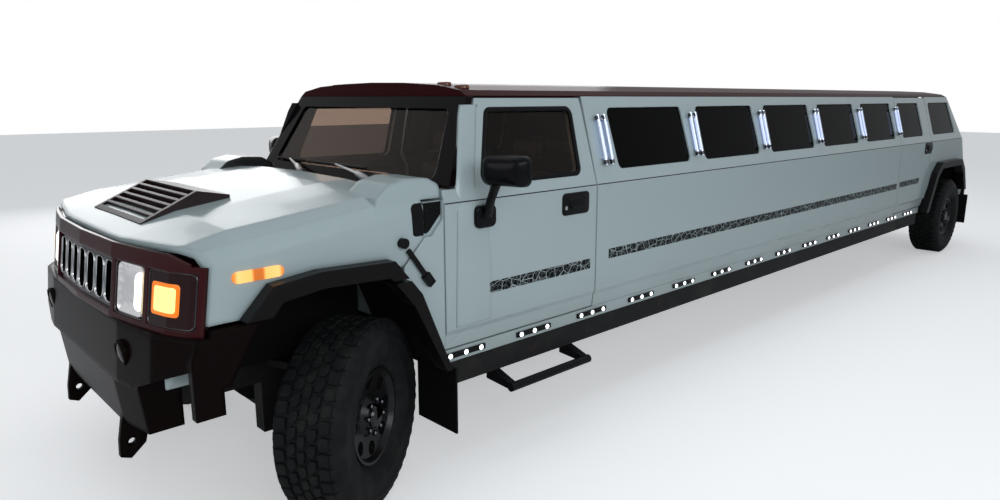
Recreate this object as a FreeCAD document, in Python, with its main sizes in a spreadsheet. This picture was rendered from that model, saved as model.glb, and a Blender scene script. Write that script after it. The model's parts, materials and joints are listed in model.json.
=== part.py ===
import FreeCAD, Part
import math
import os

import Sketcher

# Stretch limousine on an off-road car's ladder frame.
# Frame of the part: +X forward, +Y to the left side, +Z up, origin on the
# ground under the middle of the whole length. Sizes are in millimetres, and
# names that end in back or ahead are measured from the front axle.

SIZES = {
    # overall
    "wheelbase": 8199, "front_overhang": 790, "rear_overhang": 931,
    "panel_gap": 7, "moving_gap": 12, "seat_gap": 0.3, "cut_overrun": 60,
    # section through the body side, from the sill to the roof
    "sill_foot": 560, "sill_half_width": 936, "sill_top": 625, "door_foot": 632,
    "crease_low": 700, "crease_low_half_width": 944, "crease_high": 726, "panel_half_width": 957,
    "belt_height": 1339, "belt_half_width": 955, "glass_foot": 1416, "glass_foot_half_width": 932,
    "glass_head": 1766, "glass_head_half_width": 833, "roof_edge": 1830, "roof_edge_half_width": 813,
    "wall_thickness": 105, "pillar_thickness": 45, "roof_rise": 76, "roof_thickness": 38,
    # seams between the doors and the walls
    "front_door_front": 532, "front_door_rear": 1648, "rear_door_front": 6580, "rear_door_rear": 7530,
    "door_skin": 20, "door_rear_relief": 25, "door_top_relief": 14, "door_head_gap": 8,
    # windows
    "window_corner": 38, "glass_thickness": 5, "glass_inset": 12,
    "front_window_foot_front": 790, "front_window_head_front": 905,
    "front_window_foot_rear": 1520, "front_window_head_rear": 1535,
    "side_window_front": 1876, "side_window_pitch": 950.6, "side_window_length": 777,
    "window_lean": 24, "rear_window_front": 6650, "rear_window_length": 655,
    "quarter_window_front": 7610, "quarter_window_length": 735, "quarter_window_rake": 90,
    # tube lights between the side windows
    "tube_diameter": 24, "tube_length": 290, "tube_spacing": 56, "tube_foot": 1450, "tube_proud": 26,
    "tube_foot_plate": 14, "first_tube_back": 1762,
    # windshield and cowl
    "screen_foot_back": 575, "screen_foot_height": 1405, "screen_foot_half_width": 810,
    "screen_head_back": 800, "screen_head_half_width": 715, "screen_frame_width": 62,
    "screen_frame_depth": 40, "screen_gap": 12, "firewall_thickness": 24, "firewall_back": 600,
    "cowl_side_thickness": 85, "post_inner_half_width": 765, "cowl_shelf_half_width": 700,
    "side_vent_front_back": 411, "side_vent_foot": 1205, "side_vent_depth": 17,
    # tail
    "tail_head_back": 8354, "tail_belt_back": 8690, "tail_belt_height": 1312,
    "tail_foot_height": 800, "tail_post_depth": 70, "tailgate_half_width": 780,
    "tail_window_foot": 1345, "tail_window_head": 1700, "tail_window_half_width": 620,
    "tail_lamp_height": 300, "tail_lamp_width": 110, "tail_lamp_foot": 960, "tail_lamp_proud": 20,
    # hood
    "hood_height": 1445, "hood_hinge_ahead": 672, "hood_hinge_half_width": 420, "hinge_setback": 19,
    "hinge_leaf": 20, "hinge_width": 50, "hinge_height": 90, "hinge_low": 800, "hinge_high": 1120,
    "hood_front_ahead": 700, "hood_skin": 26, "hood_side_foot": 640,
    "hood_top_rear_back": 330, "hood_crease_half_width": 850, "hood_shoulder_half_width": 930,
    "hood_middle_half_width": 450, "hood_corner_back": 293, "hood_corner_height": 1090,
    "pod_front_back": 170, "pod_rear_back": 522, "pod_inner_half_width": 705,
    "pod_outer_half_width": 936, "pod_foot": 1374, "pod_top": 1476, "pod_root": 46, "pod_rounding": 24,
    "vent_front_ahead": 590, "vent_rear_ahead": 345, "vent_tail_ahead": 200, "vent_half_width": 330,
    "vent_top": 1424, "vent_slat": 12, "vent_slat_gap": 26, "vent_depth": 22, "vent_rim": 26,
    "latch_roller": 46, "latch_depth": 28, "latch_rise": 106, "latch_head_back": 288,
    "latch_strap": 22, "latch_grip": 40, "latch_run": 136, "latch_fall": 188,
    # nose
    "fascia_shelf": 1222, "fascia_lip": 1262, "fascia_depth": 110, "fascia_nose_ahead": 745,
    "fascia_sweep": 183, "fascia_lean": 37, "fascia_wall": 44, "lip_lean": 6,
    "grille_foot": 986, "grille_head": 1198, "grille_bar": 21,
    "grille_thickness": 34, "grille_recess": 14, "slot_corner": 32,
    "headlamp_depth": 64, "headlamp_recess": 22, "corner_lamp_depth": 40, "corner_lamp_recess": 6,
    "marker_length": 206, "marker_height": 44, "marker_front_ahead": 483, "marker_height_middle": 1168,
    "marker_proud": 8,
    # front bumper with its tow plates
    "bumper_head": 962, "bumper_belt": 715, "bumper_foot": 505, "bumper_half_width": 965,
    "bumper_depth": 150, "bumper_end_rise": 160, "bumper_nose_half_width": 500,
    "bumper_shoulder_half_width": 780, "bumper_shoulder_ahead": 755, "bumper_end_ahead": 660,
    "bumper_lean": 25,
    "valance_half_width": 620, "valance_wall": 45, "valance_end_ahead": 585, "valance_lean": 25,
    "cheek_half_width": 975, "cheek_foot": 655, "cheek_step_ahead": 585,
    "plate_thickness": 30, "plate_drop": 215, "plate_reach": 170, "plate_half_spread": 405,
    "tow_eye": 32, "rear_bumper_head": 800, "rear_bumper_foot": 560, "rear_bumper_depth": 150,
    "rear_bumper_chamfer": 90, "hitch_outside": 76, "hitch_inside": 51, "hitch_pin": 16,
    "hitch_pin_setback": 60,
    # wheels and axles
    "tyre_diameter": 873, "tyre_width": 315, "rim_width": 240, "rim_wall": 14,
    "track": 1763, "kingpin_half_width": 780, "hub_bore": 110, "hub_diameter": 190, "disc_thickness": 26,
    "disc_outset": 60, "spoke_hole": 62, "knuckle_width": 60, "knuckle_height": 290, "knuckle_length": 110,
    "spindle_diameter": 108, "axle_tube": 110, "differential": 320, "arm_thickness": 34,
    "half_shaft": 54, "arm_tip_width": 96, "arm_root_width": 320, "arm_bend_half_width": 600,
    "flare_half_width": 1022, "flare_inner_half_width": 931,
    "liner_wall": 12, "liner_inner_half_width": 470, "liner_outer_half_width": 924,
    "rear_liner_inner_half_width": 690,
    "flap_thickness": 10, "flap_foot": 225, "flap_back": 535, "flap_inner_half_width": 720,
    "rear_flap_foot": 265,
    # frame and floor
    "rail_outer_half_width": 425, "rail_width": 85, "rail_foot": 512, "rail_height": 120,
    "cross_width": 90, "cross_height": 80, "beam_foot": 432, "beam_height": 128,
    "beam_inner_half_width": 840, "beam_outer_half_width": 922, "beam_rear_ahead": 815,
    "floor_thickness": 20, "floor_half_width": 815, "rocker_depth": 60,
    "lamp_first_back": 665, "lamp_pitch": 488.6, "lamp_bar_length": 260, "lamp_bar_height": 26,
    "lamp_bar_proud": 12, "lamp_bar_middle": 594,
    # step under the front door
    "step_middle_height": 372, "step_outer_half_width": 1065, "step_tube": 46, "step_front_back": 880,
    "step_length": 620, "step_root_half_width": 860,
    # inside the driver's cab
    "dash_depth": 320, "dash_height": 300, "dash_head": 1345, "dash_half_width": 790, "seat_width": 520,
    "seat_length": 540, "seat_height": 360, "seat_back_height": 960, "seat_back_depth": 130,
    "seat_middle_half_width": 400, "seat_front_back": 1130, "seat_lean": 90,
    "wheel_rim_diameter": 390, "wheel_rim_tube": 30, "column_diameter": 56, "column_length": 170,
    "wheel_drop": 115,
    # engine, driveshaft
    "engine_length": 700, "engine_width": 700, "engine_height": 520, "engine_front_ahead": 330,
    "shaft_diameter": 90, "shaft_height": 425, "gearbox_length": 300, "gearbox_width": 300,
    # mirrors
    "mirror_head_back": 680, "mirror_depth": 78, "mirror_inner_half_width": 1015, "mirror_width": 220,
    "mirror_sweep": 74, "mirror_rounding": 20, "mirror_foot": 1418, "mirror_height": 148,
    "mirror_base_back": 712, "mirror_base": 132, "mirror_base_height": 112,
    "mirror_base_drop": 212, "mirror_base_depth": 24, "mirror_arm": 36,
}
ANGLES = {
    "steer_angle": 31, "column_angle": 28,
}
COUNTS = {
    "side_window_count": 5, "rocker_lamp_count": 14, "grille_slot_count": 7, "vent_slat_count": 6,
    "cross_tube_count": 10, "spoke_hole_count": 8,
}

# Wheel arches and wheels, in shares of the tyre's radius
FRONT_ARCH_SHARES = [(1.39, 1.742), (1.07, 2.30), (0.80, 2.58), (0.33, 2.63), (-0.48, 2.60),
                     (-0.80, 2.21), (-1.19, 1.283)]
FRONT_OPENING_SHARES = [(1.198, 1.742), (0.95, 2.16), (0.72, 2.42), (0.31, 2.47), (-0.42, 2.44),
                        (-0.70, 2.10), (-1.11, 1.283)]
REAR_ARCH_SHARES = [(1.83, 1.283), (1.28, 2.27), (0.92, 2.52), (-0.80, 2.52), (-1.15, 2.24),
                    (-1.51, 1.62)]
REAR_OPENING_SHARES = [(1.62, 1.283), (1.16, 2.14), (0.85, 2.36), (-0.74, 2.36), (-1.03, 2.12),
                       (-1.33, 1.62)]
LINER_SHARE = 0.023
TYRE_SHARES = [(0.495, -0.72), (0.60, -0.94), (0.76, -1.0), (0.90, -0.97), (1.0, -0.76),
               (1.0, 0.76), (0.90, 0.97), (0.76, 1.0), (0.60, 0.94), (0.495, 0.72)]
# Hood sections: place along the hood, then heights of side, shoulder, crease, flank and middle
HOOD_SECTION_SHARES = [
    (0.00, 0.845, 0.872, 0.880, 0.881, 0.881),
    (0.23, 0.855, 0.900, 0.922, 0.931, 0.934),
    (0.58, 0.882, 0.931, 0.952, 0.969, 0.974),
    (0.81, 0.907, 0.954, 0.973, 0.989, 0.994),
    (1.00, 0.916, 0.962, 0.981, 0.997, 1.002),
]
# Nose seen from above: share of the half width, share of the sweep back, and the hood's edge behind it
NOSE_PLAN_SHARES = [(0.0, 0.0, 0.192), (0.42, 0.08, 0.192), (0.63, 0.25, 0.192), (0.75, 0.37, 0.175),
                    (0.85, 0.49, 0.155), (0.945, 0.73, 0.11), (1.0, 1.0, 0.066)]
GRILLE_SHARE = 0.43
HEADLAMP_SHARES = (0.46, 0.695)
CORNER_LAMP_SHARES = (0.725, 0.972)
# Roof crown: half width and rise
ROOF_CROWN_SHARES = [(1.0, 0.0), (0.93, 0.40), (0.70, 0.76), (0.36, 0.94), (0.0, 1.0)]

os.makedirs("parts", exist_ok=True)
doc = FreeCAD.newDocument("stretch_limousine")
sheet = doc.addObject("Spreadsheet::Sheet", "Dims")


class Size:
    """A length kept as a formula over the sheet's cells, with its present value."""

    def __init__(self, formula, value):
        self.formula = formula
        self.value = value

    def joined(self, sign, other, value):
        return Size(f"({self.formula} {sign} {formula_of(other)})", value)

    def __add__(self, other):
        return self.joined("+", other, self.value + value_of(other))

    def __sub__(self, other):
        return self.joined("-", other, self.value - value_of(other))

    def __mul__(self, other):
        return self.joined("*", other, self.value * value_of(other))

    def __truediv__(self, other):
        return self.joined("/", other, self.value / value_of(other))

    def __neg__(self):
        return Size(f"(0 - {self.formula})", -self.value)


def formula_of(size):
    return size.formula if isinstance(size, Size) else f"({size:.6f})"


def value_of(size):
    return size.value if isinstance(size, Size) else float(size)


class Sheet:
    """The sheet's sizes, one attribute each."""


d = Sheet()
for row, (alias, number) in enumerate({**SIZES, **ANGLES, **COUNTS}.items(), start=1):
    sheet.set(f"A{row}", alias)
    sheet.set(f"B{row}", str(number))
    sheet.setAlias(f"B{row}", alias)
    setattr(d, alias, Size("Dims." + alias, number))
doc.recompute()

NODES = []
NORMAL_SIGN = {"XY": 1, "XZ": -1, "YZ": 1}
ALONG = {"X": FreeCAD.Vector(1, 0, 0), "Y": FreeCAD.Vector(0, 1, 0), "Z": FreeCAD.Vector(0, 0, 1)}
zero = Size("0", 0)


def keep(item, label):
    """Name a finished piece and list it for export."""
    item.Label = label
    NODES.append(item)
    return item


def new_body(name):
    return doc.addObject("PartDesign::Body", name)


def outline(body, plane, points, level):
    """A closed sketch on one of the body's planes, moved along the plane's normal to a level."""
    support = [part for part in body.Origin.OriginFeatures if part.Role == plane + "_Plane"]
    sketch = body.newObject("Sketcher::SketchObject", "Outline")
    sketch.AttachmentSupport = [(support[0], "")]
    sketch.MapMode = "FlatFace"
    shift = level if NORMAL_SIGN[plane] > 0 else zero - level
    sketch.setExpression("AttachmentOffset.Base.z", formula_of(shift))
    corners = [FreeCAD.Vector(value_of(along), value_of(up), 0) for along, up in points]
    count = len(corners)
    sketch.addGeometry([Part.LineSegment(corners[i], corners[(i + 1) % count]) for i in range(count)])
    rules = [Sketcher.Constraint("Coincident", i, 2, (i + 1) % count, 1) for i in range(count)]
    for i, corner in enumerate(corners):
        rules.append(Sketcher.Constraint("DistanceX", i, 1, corner.x))
        rules.append(Sketcher.Constraint("DistanceY", i, 1, corner.y))
    sketch.addConstraint(rules)
    for i, (along, up) in enumerate(points):
        sketch.setExpression(f"Constraints[{count + 2 * i}]", formula_of(along))
        sketch.setExpression(f"Constraints[{count + 2 * i + 1}]", formula_of(up))
    return sketch


def add_pad(body, plane, points, start, end):
    """Grow the body by an outline drawn out from start to end along its plane's axis."""
    level = start if NORMAL_SIGN[plane] > 0 else end
    feature = body.newObject("PartDesign::Pad", "Pad")
    feature.Profile = outline(body, plane, points, level)
    feature.setExpression("Length", formula_of(end - start))
    body.Tip = feature
    return feature


def cut_pocket(body, plane, points, start, end):
    """Cut an outline out of the body from start to end, and see that it cuts."""
    doc.recompute()
    before = body.Shape.Volume
    level = end if NORMAL_SIGN[plane] > 0 else start
    feature = body.newObject("PartDesign::Pocket", "Pocket")
    feature.Profile = outline(body, plane, points, level)
    feature.setExpression("Length", formula_of(end - start))
    body.Tip = feature
    doc.recompute()
    if not body.Shape.Volume < before:
        raise RuntimeError(f"{body.Name}: a pocket cuts nothing")
    return feature


def prism(name, plane, points, start, end):
    body = new_body(name)
    add_pad(body, plane, points, start, end)
    return body


def round_edges(body, axis, radius, allowed=lambda middle: True):
    """Fillet the body's edges that run along an axis and whose middle the test allows."""
    doc.recompute()
    names = []
    for number, edge in enumerate(body.Shape.Edges, start=1):
        first = edge.Vertexes[0].Point
        last = edge.Vertexes[-1].Point
        run = last - first
        along_axis = run.Length > 0 and run.cross(ALONG[axis]).Length < run.Length / 1000
        if along_axis and allowed((first + last) / 2):
            names.append(f"Edge{number}")
    tip = body.Tip
    fillet = body.newObject("PartDesign::Fillet", "Rounding")
    fillet.Base = (tip, names)
    fillet.setExpression("Radius", formula_of(radius))
    body.Tip = fillet
    return fillet


def mirrored(name, source):
    """The same piece on the other side of the middle."""
    item = doc.addObject("Part::Mirroring", name)
    item.Source = source
    item.Normal = ALONG["Y"]
    return item


def joined(name, pieces):
    item = doc.addObject("Part::MultiFuse", name)
    item.Shapes = pieces
    return item


def cut(name, base, tool):
    item = doc.addObject("Part::Cut", name)
    item.Base = base
    item.Tool = tool
    return item


def common(name, first, second):
    item = doc.addObject("Part::Common", name)
    item.Base = first
    item.Tool = second
    return item


def place(item, x, y, z, axis="Z", angle=0):
    """Put a primitive at a place, turned by an angle about one axis."""
    item.Placement = FreeCAD.Placement(FreeCAD.Vector(), FreeCAD.Rotation(ALONG[axis], value_of(angle)))
    if isinstance(angle, Size):
        item.setExpression("Placement.Rotation.Angle", formula_of(angle))
    item.setExpression("Placement.Base.x", formula_of(x))
    item.setExpression("Placement.Base.y", formula_of(y))
    item.setExpression("Placement.Base.z", formula_of(z))
    return item


def span(name, x, y, z):
    """A block between pairs of places along each axis."""
    item = doc.addObject("Part::Box", name)
    item.setExpression("Length", formula_of(x[1] - x[0]))
    item.setExpression("Width", formula_of(y[1] - y[0]))
    item.setExpression("Height", formula_of(z[1] - z[0]))
    return place(item, x[0], y[0], z[0])


def rod(name, diameter, length, x, y, z, along="Z"):
    """A round bar that starts at a place and runs along one axis."""
    item = doc.addObject("Part::Cylinder", name)
    item.setExpression("Radius", formula_of(diameter / 2))
    item.setExpression("Height", formula_of(length))
    axis, angle = {"X": ("Y", 90), "Y": ("X", -90), "Z": ("Z", 0)}[along]
    return place(item, x, y, z, axis, angle)


def both_sides(name, left):
    return joined(name, [left, mirrored(name + "Right", left)])


# Places that many pieces share
front_x = (d.front_overhang + d.wheelbase + d.rear_overhang) / 2 - d.front_overhang
rear_x = front_x - d.wheelbase
nose_x = front_x + d.front_overhang
tail_x = rear_x - d.rear_overhang
tyre_radius = d.tyre_diameter / 2
rail_head = d.rail_foot + d.rail_height
floor_head = rail_head + d.floor_thickness
cowl_head = d.pod_foot - d.moving_gap
half_gap = d.panel_gap / 2
tail_foot_back = d.wheelbase + d.rear_overhang - d.rear_bumper_depth
wall_inside = d.glass_head_half_width - d.wall_thickness
wall_outside = d.panel_half_width + d.cut_overrun
door_seam_x = front_x - d.front_door_front + half_gap
screen_slope = (d.screen_foot_back - d.screen_head_back) / (d.roof_edge - d.screen_foot_height)


def arch_points(axle_x, shares):
    """A wheel arch's outline, from the axle's place on the ground."""
    return [(axle_x + tyre_radius * ahead, tyre_radius * up) for ahead, up in shares]


def side_section(foot, foot_half_width, head, head_half_width):
    """Outer skin from the foot to the roof, then the inner trim back down."""
    return [
        (foot_half_width, foot),
        (d.crease_low_half_width, d.crease_low),
        (d.panel_half_width, d.crease_high),
        (d.belt_half_width, d.belt_height),
        (d.glass_foot_half_width, d.glass_foot),
        (d.glass_head_half_width, d.glass_head),
        (head_half_width, head),
        (head_half_width - d.pillar_thickness, head),
        (d.glass_head_half_width - d.pillar_thickness, d.glass_head),
        (d.glass_foot_half_width - d.pillar_thickness, d.glass_foot),
        (foot_half_width - d.wall_thickness, d.belt_height),
        (foot_half_width - d.wall_thickness, foot),
    ]


def glass_band():
    """The slanted strip in which every side window lies."""
    foot_y = d.glass_foot_half_width - d.glass_inset
    head_y = d.glass_head_half_width - d.glass_inset
    return [(foot_y, d.glass_foot), (head_y, d.glass_head), (head_y - d.glass_thickness, d.glass_head),
            (foot_y - d.glass_thickness, d.glass_foot)]


def window_corners(edges, inset):
    """A side window's outline: how far back its four corners are, and an inset all round."""
    foot_front, head_front, head_rear, foot_rear = edges
    return [
        (front_x - foot_front - inset, d.glass_foot + inset),
        (front_x - head_front - inset, d.glass_head - inset),
        (front_x - head_rear + inset, d.glass_head - inset),
        (front_x - foot_rear + inset, d.glass_foot + inset),
    ]


def cut_window(body, edges):
    """Cut one window through the wall and round its corners."""
    cut_pocket(body, "XZ", window_corners(edges, zero), wall_inside, wall_outside)
    front = value_of(front_x) - min(value_of(edge) for edge in edges)
    rear = value_of(front_x) - max(value_of(edge) for edge in edges)
    slack = value_of(d.panel_gap)

    def at_window(middle):
        high_enough = middle.z > value_of(d.glass_foot) - slack
        low_enough = middle.z < value_of(d.glass_head) + slack
        return rear - slack < middle.x < front + slack and high_enough and low_enough

    round_edges(body, "Y", d.window_corner, at_window)


def window_pane(name, edges):
    """The pane that fills a window, a seat gap smaller all round."""
    slab = prism(name + "Slab", "XZ", window_corners(edges, d.seat_gap), wall_inside, wall_outside)
    round_edges(slab, "Y", d.window_corner - d.seat_gap)
    band = prism(name + "Band", "YZ", glass_band(), front_x - max(edges, key=value_of),
                 front_x - min(edges, key=value_of))
    return common(name, slab, band)


def upright_window(front, length):
    """A window whose ends lean back slightly from the top to the foot."""
    return [front + d.window_lean, front, front + length, front + length + d.window_lean]


# Ladder frame: two long rails, and a beam under each sill
beam_front = front_x - d.flap_back - d.flap_thickness
beam_rear = rear_x + d.beam_rear_ahead
beam_head = d.beam_foot + d.beam_height
rail_inner = d.rail_outer_half_width - d.rail_width
rail_front = nose_x - d.bumper_depth
rail_rear = tail_x + d.rear_bumper_depth


def make_frame_rails():
    rail = span("Rail", (rail_rear, rail_front), (rail_inner, d.rail_outer_half_width),
                (d.rail_foot, rail_head))
    beam = span("SillBeam", (beam_rear, beam_front), (d.beam_inner_half_width, d.beam_outer_half_width),
                (d.beam_foot, beam_head))
    keep(both_sides("FrameRails", joined("FrameRailsLeft", [rail, beam])), "frame_rails")


# Cross tubes between the rails, and outriggers from the rails to the sill beams
def make_cross_tubes():
    inset = (d.rail_height - d.cross_height) / 2
    height = (d.rail_foot + inset, rail_head - inset)
    bays = COUNTS["cross_tube_count"]
    pitch = (beam_front - beam_rear - d.cross_width) / (bays - 1)
    middles = [rail_rear, rail_front - d.cross_width]
    outriggers = []
    for bay in range(bays):
        start = beam_rear + pitch * bay
        middles.append(start)
        outriggers.append(span("Outrigger", (start, start + d.cross_width),
                               (d.rail_outer_half_width, d.beam_inner_half_width),
                               (d.rail_foot, beam_head)))
    tubes = [span("CrossTube", (start, start + d.cross_width), (zero - rail_inner, rail_inner), height)
             for start in middles]
    left = joined("OutriggersLeft", outriggers)
    keep(joined("CrossTubes", tubes + [left, mirrored("OutriggersRight", left)]), "cross_tubes")


# Floor pan, narrowed between the rear wheels
def make_cabin_floor():
    front = front_x - d.firewall_back - d.firewall_thickness
    rear = front_x - tail_foot_back + d.tail_post_depth + d.moving_gap
    half = d.floor_half_width
    narrow = d.rear_liner_inner_half_width
    room_front, room_rear = [rear_x + tyre_radius * REAR_ARCH_SHARES[end][0] for end in (0, -1)]
    left = [(front, half), (room_front, half), (room_front, narrow),
            (room_rear, narrow), (room_rear, half), (rear, half)]
    right = [(along, zero - across) for along, across in reversed(left)]
    floor = prism("CabinFloor", "XY", left + right, rail_head, floor_head)
    keep(floor, "cabin_floor")


# Rocker panels: the painted sills on the beams
def make_rocker_panels():
    sill = prism("Rocker", "YZ", [
        (d.sill_half_width - d.rocker_depth, d.sill_foot),
        (d.sill_half_width, d.sill_foot),
        (d.sill_half_width, d.sill_top),
        (d.sill_half_width - d.rocker_depth, d.sill_top),
    ], beam_rear, door_seam_x)
    keep(both_sides("RockerPanels", sill), "rocker_panels")


# Rocker lights: a row of short lamp bars along each sill
def make_rocker_lights():
    bars = []
    foot = d.lamp_bar_middle - d.lamp_bar_height / 2
    for index in range(COUNTS["rocker_lamp_count"]):
        middle = front_x - d.lamp_first_back - d.lamp_pitch * index
        start = middle - d.lamp_bar_length / 2
        bars.append(span("LampBar", (start, start + d.lamp_bar_length),
                         (d.sill_half_width, d.sill_half_width + d.lamp_bar_proud),
                         (foot, foot + d.lamp_bar_height)))
    keep(both_sides("RockerLights", joined("LampBarsLeft", bars)), "rocker_lights")


# Side walls of the stretch, with their windows cut through
def side_window_edges(index):
    return upright_window(d.side_window_front - d.window_lean + d.side_window_pitch * index,
                          d.side_window_length)


def make_side_walls():
    wall = prism("SideWall", "YZ",
                 side_section(d.sill_top, d.sill_half_width, d.roof_edge, d.roof_edge_half_width),
                 front_x - d.rear_door_front + half_gap, front_x - d.front_door_rear - half_gap)
    for index in range(COUNTS["side_window_count"]):
        cut_window(wall, side_window_edges(index))
    leaves = hinge_leaves(front_x - d.rear_door_front - half_gap)
    keep(both_sides("SideWalls", joined("SideWallLeft", [wall] + leaves)), "side_walls")


# Tube lights: a pair of glass tubes on each pillar between the windows
def make_tube_lights():
    wall_lean = (d.glass_foot_half_width - d.glass_head_half_width) / (d.glass_head - d.glass_foot)
    lean_angle = Size(f"atan({wall_lean.formula})", math.degrees(math.atan(wall_lean.value)))
    foot_y = d.glass_foot_half_width + d.tube_proud - wall_lean * (d.tube_foot - d.glass_foot)
    pieces = []
    places = [d.first_tube_back]
    for index in range(COUNTS["side_window_count"]):
        window_rear = side_window_edges(index)[2]
        pillar = d.side_window_pitch - d.side_window_length
        places.append(window_rear + (pillar + d.window_lean) / 2)
    for back in places:
        for side in (-0.5, 0.5):
            along = front_x - back + d.tube_spacing * side
            tube = doc.addObject("Part::Cylinder", "TubeLight")
            tube.setExpression("Radius", formula_of(d.tube_diameter / 2))
            tube.setExpression("Height", formula_of(d.tube_length))
            pieces.append(place(tube, along, foot_y, d.tube_foot, "X", lean_angle))
        for share in (0.12, 0.88):
            height = d.tube_foot + d.tube_length * share
            wall_y = d.glass_foot_half_width - wall_lean * (height - d.glass_foot)
            half_span = d.tube_spacing / 2
            half_plate = d.tube_foot_plate / 2
            pieces.append(span("TubeBracket", (front_x - back - half_span, front_x - back + half_span),
                               (wall_y + wall_lean * half_plate, wall_y + d.tube_proud),
                               (height - half_plate, height + half_plate)))
    keep(both_sides("TubeLights", joined("TubeLightsLeft", pieces)), "tube_lights")


# Doors: pressed shells with a window, narrowed inside at the closing edge
def hinge_leaves(x_door):
    """Hinge leaves that carry a door at its front edge."""
    inner = d.panel_half_width - d.cowl_side_thickness
    return [span("DoorHinge", (x_door + d.seat_gap, x_door + d.panel_gap), (inner, inner + d.hinge_width),
                 (height, height + d.hinge_height)) for height in (d.hinge_low, d.hinge_high)]


def make_door(name, label, front, rear, edges, cuts):
    x_front = front_x - front - half_gap
    x_rear = front_x - rear + half_gap
    head = d.roof_edge - d.door_head_gap
    door = prism(name, "YZ", side_section(d.door_foot, d.sill_half_width, head, d.roof_edge_half_width),
                 x_rear, x_front)
    skin = d.door_skin
    inside = [(across - skin, up) for across, up in
              side_section(d.door_foot - d.cut_overrun, d.sill_half_width, head + d.cut_overrun,
                           d.roof_edge_half_width)[:7]]
    closing = inside + [(wall_inside - d.wall_thickness, head + d.cut_overrun),
                        (wall_inside - d.wall_thickness, d.door_foot - d.cut_overrun)]
    cut_pocket(door, "YZ", closing, x_rear - d.cut_overrun, x_rear + d.door_rear_relief)
    cut_pocket(door, "XZ", [
        (x_rear, d.belt_height),
        (x_rear + d.door_top_relief, d.roof_edge),
        (x_rear + d.door_top_relief, d.roof_edge + d.cut_overrun),
        (x_rear - d.cut_overrun, d.roof_edge + d.cut_overrun),
        (x_rear - d.cut_overrun, d.belt_height),
    ], wall_inside, wall_outside)
    for points in cuts:
        cut_pocket(door, "XZ", points, wall_inside - d.wall_thickness, wall_outside)
    cut_window(door, edges)
    keep(door, "left_" + label)
    keep(mirrored(name + "Right", door), "right_" + label)
    pane = window_pane(name + "Glass", edges)
    keep(pane, "left_" + label + "_glass")
    keep(mirrored(name + "GlassRight", pane), "right_" + label + "_glass")


front_door_window = [d.front_window_foot_front, d.front_window_head_front, d.front_window_head_rear,
                     d.front_window_foot_rear]
rear_door_window = upright_window(d.rear_window_front - d.window_lean, d.rear_window_length)


def make_doors():
    foot_x = front_x - d.screen_foot_back - d.screen_frame_depth - d.screen_gap
    head_x = front_x - d.screen_head_back - d.screen_frame_depth - d.screen_gap
    over = d.cut_overrun
    screen_corner = [(foot_x, d.screen_foot_height), (head_x, d.roof_edge), (head_x, d.roof_edge + over),
                     (door_seam_x + over, d.roof_edge + over), (door_seam_x + over, d.screen_foot_height)]
    make_door("FrontDoor", "front_door", d.front_door_front, d.front_door_rear, front_door_window,
              [screen_corner])
    seam_x = front_x - d.rear_door_rear
    arch = arch_points(rear_x, REAR_ARCH_SHARES[:2])
    low, high = arch
    room = d.moving_gap * 1.5
    wheel_corner = [(low[0] + room, low[1]), (high[0] + room, high[1]),
                    (seam_x - over, high[1]), (seam_x - over, low[1])]
    make_door("RearDoor", "rear_door", d.rear_door_front, d.rear_door_rear, rear_door_window,
              [wheel_corner])


# Rear quarters: the corners of the body behind the rear doors, with the wheel openings
def tail_line(forward):
    """The slope of the tail from the roof down, moved forward by a distance."""
    return [(front_x - d.tail_head_back + forward, d.roof_edge),
            (front_x - d.tail_belt_back + forward, d.tail_belt_height),
            (front_x - tail_foot_back + forward, d.tail_foot_height)]


def behind_tail(forward):
    """Everything behind the tail's slope, as an outline."""
    head, belt, foot = tail_line(forward)
    far = tail_x - d.cut_overrun
    return [(head[0], head[1] + d.cut_overrun), head, belt, foot, (foot[0], d.sill_foot - d.cut_overrun),
            (far, d.sill_foot - d.cut_overrun), (far, head[1] + d.cut_overrun)]


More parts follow.
